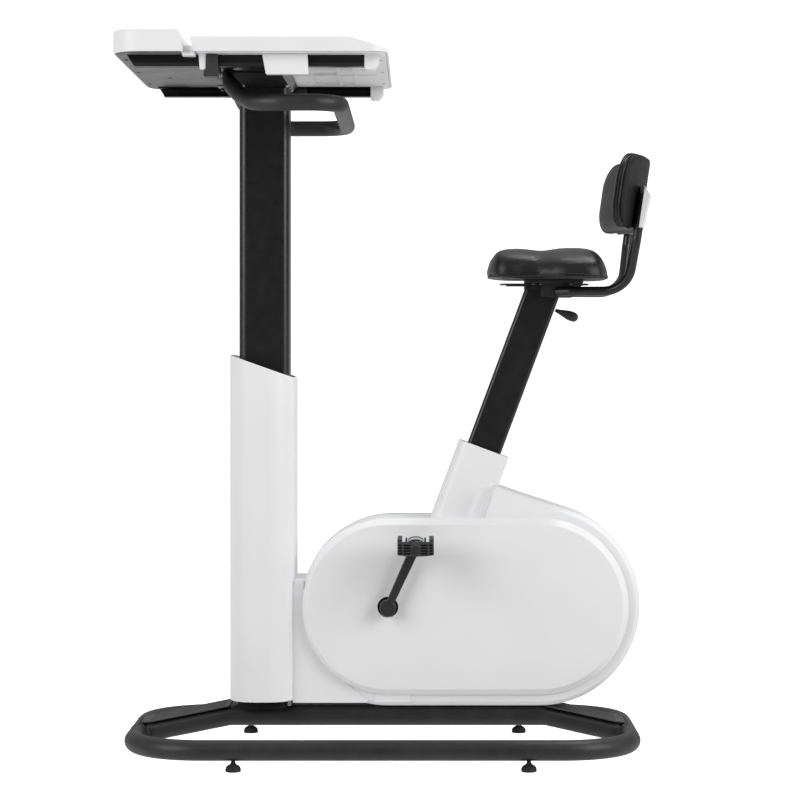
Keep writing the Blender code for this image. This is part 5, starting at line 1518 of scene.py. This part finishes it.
def soften_slot_ends(form, wall):
    """Rounds the upright edges where the desk's side faces meet the slot's leaning wall."""
    edges = []
    for edge in form.edges:
        ends = [vert.co for vert in edge.verts]
        beside = all(abs(abs(p.y) - DESK_HALF_WIDTH) < 0.0004 for p in ends)
        leaning = all(abs(p.x - wall(p.z)) < 0.0006 for p in ends)
        if beside and leaning and abs(ends[0].z - ends[1].z) > 0.004:
            edges.append(edge)
    bevel_edges(form, edges, 0.0045, 4)


def desk_piece(name, node, profile, top, edge, wall):
    """The part of the desk that lies within a profile seen from its side."""
    half = DESK_HALF_WIDTH + 0.010
    form = combined(desk_body(top, edge), slab([profile], (-half, half)), "INTERSECT")
    soften_slot_ends(form, wall)
    add_piece(name, form, "moulded_white_abs", "desk", node, angle=30)


def slot_front(z):
    """Where the slot's front wall, which is the rear of the ledge, lies at a height."""
    return LEDGE_REAR + math.tan(SLOT_LEAN) * (LEDGE_TOP - z)


def slot_rear(z):
    """Where the slot's rear wall, which is the front of the deck, lies at a height."""
    return DECK_FRONT + math.tan(SLOT_LEAN) * (DESK_TOP - z)


def build_desk(sizes):
    """The ledge and the deck, cut from one outline on both sides of the slot, and what is under them."""
    low, past = DESK_BOTTOM - 0.010, DESK_SPAN[0] - 0.010
    profile = [(past, low), (slot_front(low), low), (LEDGE_REAR, LEDGE_TOP), (past, LEDGE_TOP)]
    profile = rounded(profile, (0, 0, 0.0022, 0), 6)
    desk_piece("ledge_moulding", "desk_ledge", profile, LEDGE_TOP, sizes.desk_edge, slot_front)
    past = DESK_SPAN[1] + 0.010
    profile = [(slot_rear(low), low), (past, low), (past, 1.3705), (-0.014, 1.3765)]
    profile += [(-0.082, DESK_TOP), (DECK_FRONT, DESK_TOP)]
    profile = rounded(profile, (0, 0, 0, 0.020, 0.060, 0.0022), 8)
    desk_piece("deck_moulding", "desk_deck", profile, DESK_TOP, sizes.desk_edge, slot_rear)
    build_slot()
    build_front_panel(sizes)
    build_rear_panel(sizes)
    build_rails()
    build_side_box()


def build_slot():
    """The slot's floor, deeper outside the rails, and the low wall that closes it near each end."""
    front, rear = slot_front(DESK_BOTTOM) - 0.003, slot_rear(DESK_BOTTOM) + 0.003
    half, low, top = DESK_HALF_WIDTH - 0.010, 1.3600, 1.3790
    fall = math.tan(SLOT_LEAN) * (top - low)
    forms = [block((front, rear), (-half, half), (1.3642, DESK_BOTTOM - 0.0006), 0.001, 0.0006)]
    end = rounded([(front, low), (rear, low), (rear - fall, top), (front - fall, top)], 0.0015, 3)
    for sign in (-1, 1):
        beyond = (sign * (RAIL_Y + 0.019), sign * half)
        forms.append(block((front, rear), beyond, (1.3590, 1.3650), 0.003, 0.0014))
        forms.append(slab([end], (sign * (half - 0.0100), sign * (half - 0.0060)), "Y", 0.0008))
    add_piece("slot_floor", joined(forms), "moulded_white_abs", "desk", "slot_liner")


def build_front_panel(sizes):
    """The sheet that closes the ledge from below, with a tongue between the rails that hides the slot."""
    low, half = PANEL_HEIGHTS[0], DESK_HALF_WIDTH - 0.005
    x_span = (DESK_SPAN[0] + 0.005, slot_front(DESK_BOTTOM) - 0.009)
    outline = rectangle(x_span, (-half, half), (0.050, 0, 0, 0.050), 16)
    tongue = rectangle((-0.430, -0.300), (-0.2605, 0.2605), 0.004, 3)
    forms = [slab([outline], PANEL_HEIGHTS, "Z", 0.0008)]
    forms.append(slab([tongue], (low - 0.0013, low - 0.0001), "Z", 0.0004))
    add_piece("front_panel_sheet", joined(forms), "formed_grey_abs", "desk", "front_panel")
    places = [((-0.507, y, low), (0, 0, -1)) for y in (-0.211, 0, 0.211)]
    places += [((-0.453, y, low), (0, 0, -1)) for y in (-0.098, 0.098)]
    screws = set_at(crossed_screw(sizes.screw_radius), places)
    add_piece("front_panel_screws", screws, "moulded_black_nylon", "desk")


def build_rear_panel(sizes):
    """The panel under the deck, its pockets and ribs, the rails' end hooks and the two stop posts."""
    (low, high), half, wide = PANEL_HEIGHTS, DESK_HALF_WIDTH - 0.005, (-0.158, -0.110)
    x_span = (slot_rear(DESK_BOTTOM) + 0.006, DESK_SPAN[1] - 0.005)
    outlines = [rectangle(x_span, (-half, half), (0, 0.030, 0.030, 0), 12)]
    for sign in (-1, 1):
        for pocket in (wide, (-0.101, -0.078)):
            outlines.append(rectangle(pocket, (sign * 0.050, sign * 0.225), 0.004, 4))
    outlines.append(rectangle(wide, (-0.040, 0.040), 0.004, 4))
    forms = [slab(outlines, PANEL_HEIGHTS, "Z", 0.0006)]
    forms.append(block((-0.165, -0.070), (-0.235, 0.235), (low + 0.0026, high), 0.004, 0.0002))
    for x in (-0.1055, -0.0735):
        rib = (x - 0.0012, x + 0.0012)
        forms.append(block(rib, (-0.245, 0.245), (low - 0.0021, low + 0.001), 0.0008, 0.0005))
    for y in (-0.2475, -0.045, 0.045, 0.2475):
        rib = (y - 0.0010, y + 0.0010)
        forms.append(block((-0.330, -0.030), rib, (low - 0.0014, low + 0.001), 0.0008, 0.0005))
    for sign, foot in ((-1, 1.3345), (1, 1.3440)):
        forms.append(rail_hook(sign))
        post = [(-0.3590, low + 0.001), (-0.3565, foot), (-0.3448, foot), (-0.3448, low + 0.001)]
        span = (sign * (RAIL_Y + 0.020), sign * (RAIL_Y + 0.032))
        forms.append(slab([rounded(post, (0, 0.002, 0.002, 0), 4)], span, "Y", 0.0010))
    add_piece("rear_panel_moulding", joined(forms), "moulded_white_abs", "desk", "rear_panel")
    places = [((x, y, low), (0, 0, -1)) for x in (-0.300, -0.016) for y in (-0.205, 0, 0.205)]
    screws = set_at(crossed_screw(sizes.screw_radius), places)
    add_piece("rear_panel_screws", screws, "zinc_plated_steel", "desk")


def rail_hook(sign):
    """The hook that holds a rail's rear end, rounded below, with a slanted web behind it."""
    front, rear, foot, top = -0.0462, -0.0180, 1.3360, PANEL_HEIGHTS[0] + 0.001
    hook = [(front, top), (front, foot), (-0.0270, foot), (rear, 1.3480), (rear, top)]
    hook = rounded(hook, (0, 0.006, 0.008, 0.006, 0), 6)
    return slab([hook], (sign * (RAIL_Y - 0.017), sign * (RAIL_Y + 0.017)), "Y", 0.0016)


def build_rails():
    """The channels, with a slanted lower edge outside and their front ends cut off at a slant."""
    low, high = RAIL_HEIGHTS
    out, inner, wall = RAIL_Y + 0.015, RAIL_Y - 0.0145, 0.0025
    for side, sign in SIDES:
        outline = [(inner, low), (out - 0.0045, low), (out, low + 0.0062), (out, high), (inner, high)]
        outline += [(inner, high - wall), (out - wall, high - wall), (out - wall, low + 0.0070)]
        outline += [(out - 0.0060, low + wall), (inner, low + wall)]
        outline = rounded(outline, 0.0010, 3)
        rail = slab([[(sign * y, z) for y, z in outline]], RAIL_SPAN, "X", 0.0004)
        for vert in rail.verts:
            if vert.co.x < RAIL_SPAN[0] + 0.01:
                vert.co.x += 0.65 * (high - vert.co.z)
        # The channels take the black that is painted darker, as painted shade for their recess.
        add_piece(f"channel_{side}", rail, "channel_black_painted_shade", "desk", f"rail_{side}")


def build_side_box():
    """The box beside the near rail, wider above, with two small pips on its face."""
    top = PANEL_HEIGHTS[0] - 0.0003
    face = [(-0.2315, 1.3250), (-0.1515, 1.3250), (-0.1532, top), (-0.2388, top)]
    forms = [slab([rounded(face, 0.0022, 5)], (-0.3120, -0.2955), "Y", 0.0014)]
    for x, z in ((-0.2240, 1.3305), (-0.1632, 1.3315)):
        forms.append(turned(dome(0.0021, 0.0005, 0.0001), (x, -0.3120, z), -ACROSS, 20))
    add_piece("side_box_moulding", joined(forms), "moulded_white_abs", "desk", "side_box")


# Stage


def build_floor():
    """A wide floor of paper that curves up far away."""
    near, bend = 9.0, 4.0
    levels = [(0.02, 0), (1.5, 0), (4.0, 0), (near, 0)]
    levels += [(near + reach, height) for reach, height in arc((0, bend), bend, -90, 0, 8)[1:]]
    rings = []
    for radius, height in levels + [(near + bend, 7.0)]:
        rings.append([(x, y, height) for x, y in circle((0, 0), radius, 96)])
    form = skin(rings, capped=False)
    bmesh.ops.holes_fill(form, edges=[edge for edge in form.edges if edge.calc_length() < 0.01], sides=0)
    mesh = as_mesh(form, "studio_floor")
    mesh.shade_smooth()
    floor = linked("studio_floor", mesh)
    # Seamless background paper, matt and white, lit from behind so that it shows as pure white. Its
    # fibres are drawn 4 mm long to show.
    sockets = {"Specular IOR Level": 0.2, "Emission Color": (1, 1, 1, 1), "Emission Strength": 0.9}
    shades = (linear("fafafa"), linear("f6f6f6"))
    surface = {"patch": 0.8, "roughness": (0.85, 0.95), "relief": grain(0.004), "depth": 0.0001}
    mesh.materials.append(surfaced("seamless_studio_paper", sockets, shades, **surface))
    floor.visible_diffuse = False
    floor.visible_glossy = False


def build_air(sizes):
    """The light that comes from all round the bike."""
    world = bpy.data.worlds.new("studio_air")
    world.use_nodes = True
    bpy.context.scene.world = world
    tree = world.node_tree
    where = add_node(tree, "ShaderNodeTexCoord").outputs["Generated"]
    parts = add_node(tree, "ShaderNodeSeparateXYZ", {0: where}).outputs
    # The studio is dark on the camera's side, so the black faces turned that way stay deep.
    reach = {"Value": parts["Y"], "From Min": -0.95, "From Max": -0.60}
    reach.update({"To Min": 0.05, "To Max": sizes.air_light})
    air = add_node(tree, "ShaderNodeMapRange", reach, interpolation_type="SMOOTHSTEP")
    # Light that the white floor throws back up.
    reach = {"Value": parts["Z"], "From Min": -0.02, "From Max": -0.16}
    reach.update({"To Min": 0.0, "To Max": sizes.floor_light})
    bounce = add_node(tree, "ShaderNodeMapRange", reach, interpolation_type="SMOOTHSTEP")
    both = {0: air.outputs["Result"], 1: bounce.outputs["Result"]}
    level = add_node(tree, "ShaderNodeMath", both, operation="ADD")
    tree.links.new(level.outputs["Value"], tree.nodes["Background"].inputs["Strength"])
    tree.nodes["Background"].inputs["Color"].default_value = (1, 1, 1, 1)


def build_stage(sizes):
    """The floor, the light all round, four softboxes turned to the bike's middle, and the camera."""
    build_floor()
    build_air(sizes)
    middle = Vector((0, 0, 0.75))
    lights = (
        ("softbox_left", (-5.4, -5.0, 3.2), (4.4, 4.4), 262),
        ("softbox_right", (5.4, -3.8, 3.4), (4.0, 4.4), 290),
        ("softbox_above", (1.39, 0.50, 4.35), (0.8, 0.7), 52),
        ("softbox_top", (-0.6, 1.2, 5.0), (4.0, 3.0), 34),
    )
    for name, where, size, power in lights:
        data = bpy.data.lights.new(name, "AREA")
        data.shape = "RECTANGLE"
        data.size, data.size_y = size
        data.energy = power * sizes.light_level
        light = linked(name, data)
        light.location = where
        light.rotation_euler = (middle - Vector(where)).to_track_quat("-Z", "Y").to_euler()
        light.visible_camera = False
    lens = bpy.data.cameras.new("studio_camera")
    lens.lens = 111.94
    lens.sensor_width = 36
    lens.shift_x = -0.027
    lens.shift_y = -0.0531
    lens.clip_end = 60
    camera = linked("studio_camera", lens)
    camera.location = (0.062, -5.0, 0.791)
    camera.rotation_euler = (math.radians(90), 0, 0)
    bpy.context.scene.camera = camera
    bpy.context.scene.view_settings.view_transform = "Standard"


class DeskBikeSizes(bpy.types.PropertyGroup):
    bar_radius: FloatProperty(
        name="Handlebar radius", description="Half the handlebar tube's diameter",
        default=0.01625, unit="LENGTH", subtype="DISTANCE",
    )
    desk_edge: FloatProperty(
        name="Desk edge", description="Radius of the desk's upper edges",
        default=0.0050, unit="LENGTH", subtype="DISTANCE",
    )
    pad_crown: FloatProperty(
        name="Backrest crown", description="How far the backrest swells in front of its border",
        default=0.0110, unit="LENGTH", subtype="DISTANCE",
    )
    plug_radius: FloatProperty(
        name="Plug radius", description="Radius of the rubber plugs in the base ring",
        default=0.0060, unit="LENGTH", subtype="DISTANCE",
    )
    screw_radius: FloatProperty(
        name="Screw radius", description="Radius of the panel screws' heads",
        default=0.0038, unit="LENGTH", subtype="DISTANCE",
    )
    air_light: FloatProperty(
        name="Surrounding light", description="Strength of the even light from all round", default=0.45
    )
    floor_light: FloatProperty(
        name="Floor light", description="Strength of the light that the floor throws back", default=0.42
    )
    light_level: FloatProperty(
        name="Softbox level", description="Share of the softboxes' full power", default=1.0, subtype="FACTOR"
    )


class DeskBikeColours(bpy.types.PropertyGroup):
    white: FloatVectorProperty(
        name="White", description="Colour of the white mouldings",
        default=linear("e9e9ea"), subtype="COLOR",
    )
    black: FloatVectorProperty(
        name="Black", description="Colour of the powder coat",
        default=linear("151516"), subtype="COLOR",
    )
    vinyl: FloatVectorProperty(
        name="Leathercloth", description="Colour of the saddle and backrest",
        default=linear("131314"), subtype="COLOR",
    )


class DESKBIKE_OT_base(bpy.types.Operator):
    """Build the base ring, the spine with its strips, and the four feet"""

    bl_idname = "deskbike.base"
    bl_label = "Base and feet"

    def execute(self, context):
        build_base(context.scene.deskbike_sizes)
        return {"FINISHED"}


class DESKBIKE_OT_column(bpy.types.Operator):
    """Build the column and its cover, and the carriage and handlebar on top of it"""

    bl_idname = "deskbike.column"
    bl_label = "Column, carriage and handlebar"

    def execute(self, context):
        build_column(context.scene.deskbike_sizes)
        return {"FINISHED"}


class DESKBIKE_OT_housing(bpy.types.Operator):
    """Build the drive housing, its side covers and the shroud round the post"""

    bl_idname = "deskbike.housing"
    bl_label = "Drive housing"

    def execute(self, context):
        build_housing()
        return {"FINISHED"}


class DESKBIKE_OT_drive(bpy.types.Operator):
    """Finish the belt drive inside the housing"""

    bl_idname = "deskbike.drive"
    bl_label = "Belt drive"

    def execute(self, context):
        build_drive()
        return {"FINISHED"}


class DESKBIKE_OT_cranks(bpy.types.Operator):
    """Build the cranks and the pedals"""

    bl_idname = "deskbike.cranks"
    bl_label = "Cranks and pedals"

    def execute(self, context):
        build_cranks()
        return {"FINISHED"}


class DESKBIKE_OT_seat_post(bpy.types.Operator):
    """Build the seat post, its track and its lever"""

    bl_idname = "deskbike.seat_post"
    bl_label = "Seat post"

    def execute(self, context):
        build_seat_post()
        return {"FINISHED"}


class DESKBIKE_OT_saddle(bpy.types.Operator):
    """Build the saddle and the mount under it"""

    bl_idname = "deskbike.saddle"
    bl_label = "Saddle"

    def execute(self, context):
        build_saddle()
        return {"FINISHED"}


class DESKBIKE_OT_backrest(bpy.types.Operator):
    """Build the backrest, its bracket and its tubes"""

    bl_idname = "deskbike.backrest"
    bl_label = "Backrest"

    def execute(self, context):
        build_backrest(context.scene.deskbike_sizes)
        return {"FINISHED"}


class DESKBIKE_OT_desk(bpy.types.Operator):
    """Build the desk, its slot, panels, rails and side box"""

    bl_idname = "deskbike.desk"
    bl_label = "Desk"

    def execute(self, context):
        build_desk(context.scene.deskbike_sizes)
        return {"FINISHED"}


class DESKBIKE_OT_stage(bpy.types.Operator):
    """Build the floor, the lights and the camera"""

    bl_idname = "deskbike.stage"
    bl_label = "Stage"

    def execute(self, context):
        build_stage(context.scene.deskbike_sizes)
        return {"FINISHED"}


STEPS = (
    DESKBIKE_OT_base,
    DESKBIKE_OT_column,
    DESKBIKE_OT_housing,
    DESKBIKE_OT_drive,
    DESKBIKE_OT_cranks,
    DESKBIKE_OT_seat_post,
    DESKBIKE_OT_saddle,
    DESKBIKE_OT_backrest,
    DESKBIKE_OT_desk,
    DESKBIKE_OT_stage,
)


class DESKBIKE_PT_panel(bpy.types.Panel):
    """Lists the bike's sizes, colours and pieces"""

    bl_label = "Desk bike"
    bl_idname = "DESKBIKE_PT_panel"
    bl_space_type = "VIEW_3D"
    bl_region_type = "UI"
    bl_category = "Desk bike"

    def draw(self, context):
        for group in (context.scene.deskbike_sizes, context.scene.deskbike_colours):
            for name in group.bl_rna.properties.keys():
                if name not in ("rna_type", "name"):
                    self.layout.prop(group, name)
        for step in STEPS:
            self.layout.operator(step.bl_idname)


CLASSES = (DeskBikeSizes, DeskBikeColours, *STEPS, DESKBIKE_PT_panel)


def register():
    for cls in CLASSES:
        bpy.utils.register_class(cls)
    bpy.types.Scene.deskbike_sizes = PointerProperty(type=DeskBikeSizes)
    bpy.types.Scene.deskbike_colours = PointerProperty(type=DeskBikeColours)


def unregister():
    del bpy.types.Scene.deskbike_colours
    del bpy.types.Scene.deskbike_sizes
    for cls in reversed(CLASSES):
        bpy.utils.unregister_class(cls)


def main():
    """Builds every piece through its operator."""
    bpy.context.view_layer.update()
    register()
    MATERIALS.update(make_materials(bpy.context.scene.deskbike_colours))
    for step in STEPS:
        group, name = step.bl_idname.split(".")
        getattr(getattr(bpy.ops, group), name)()


if __name__ == "__main__":
    main()
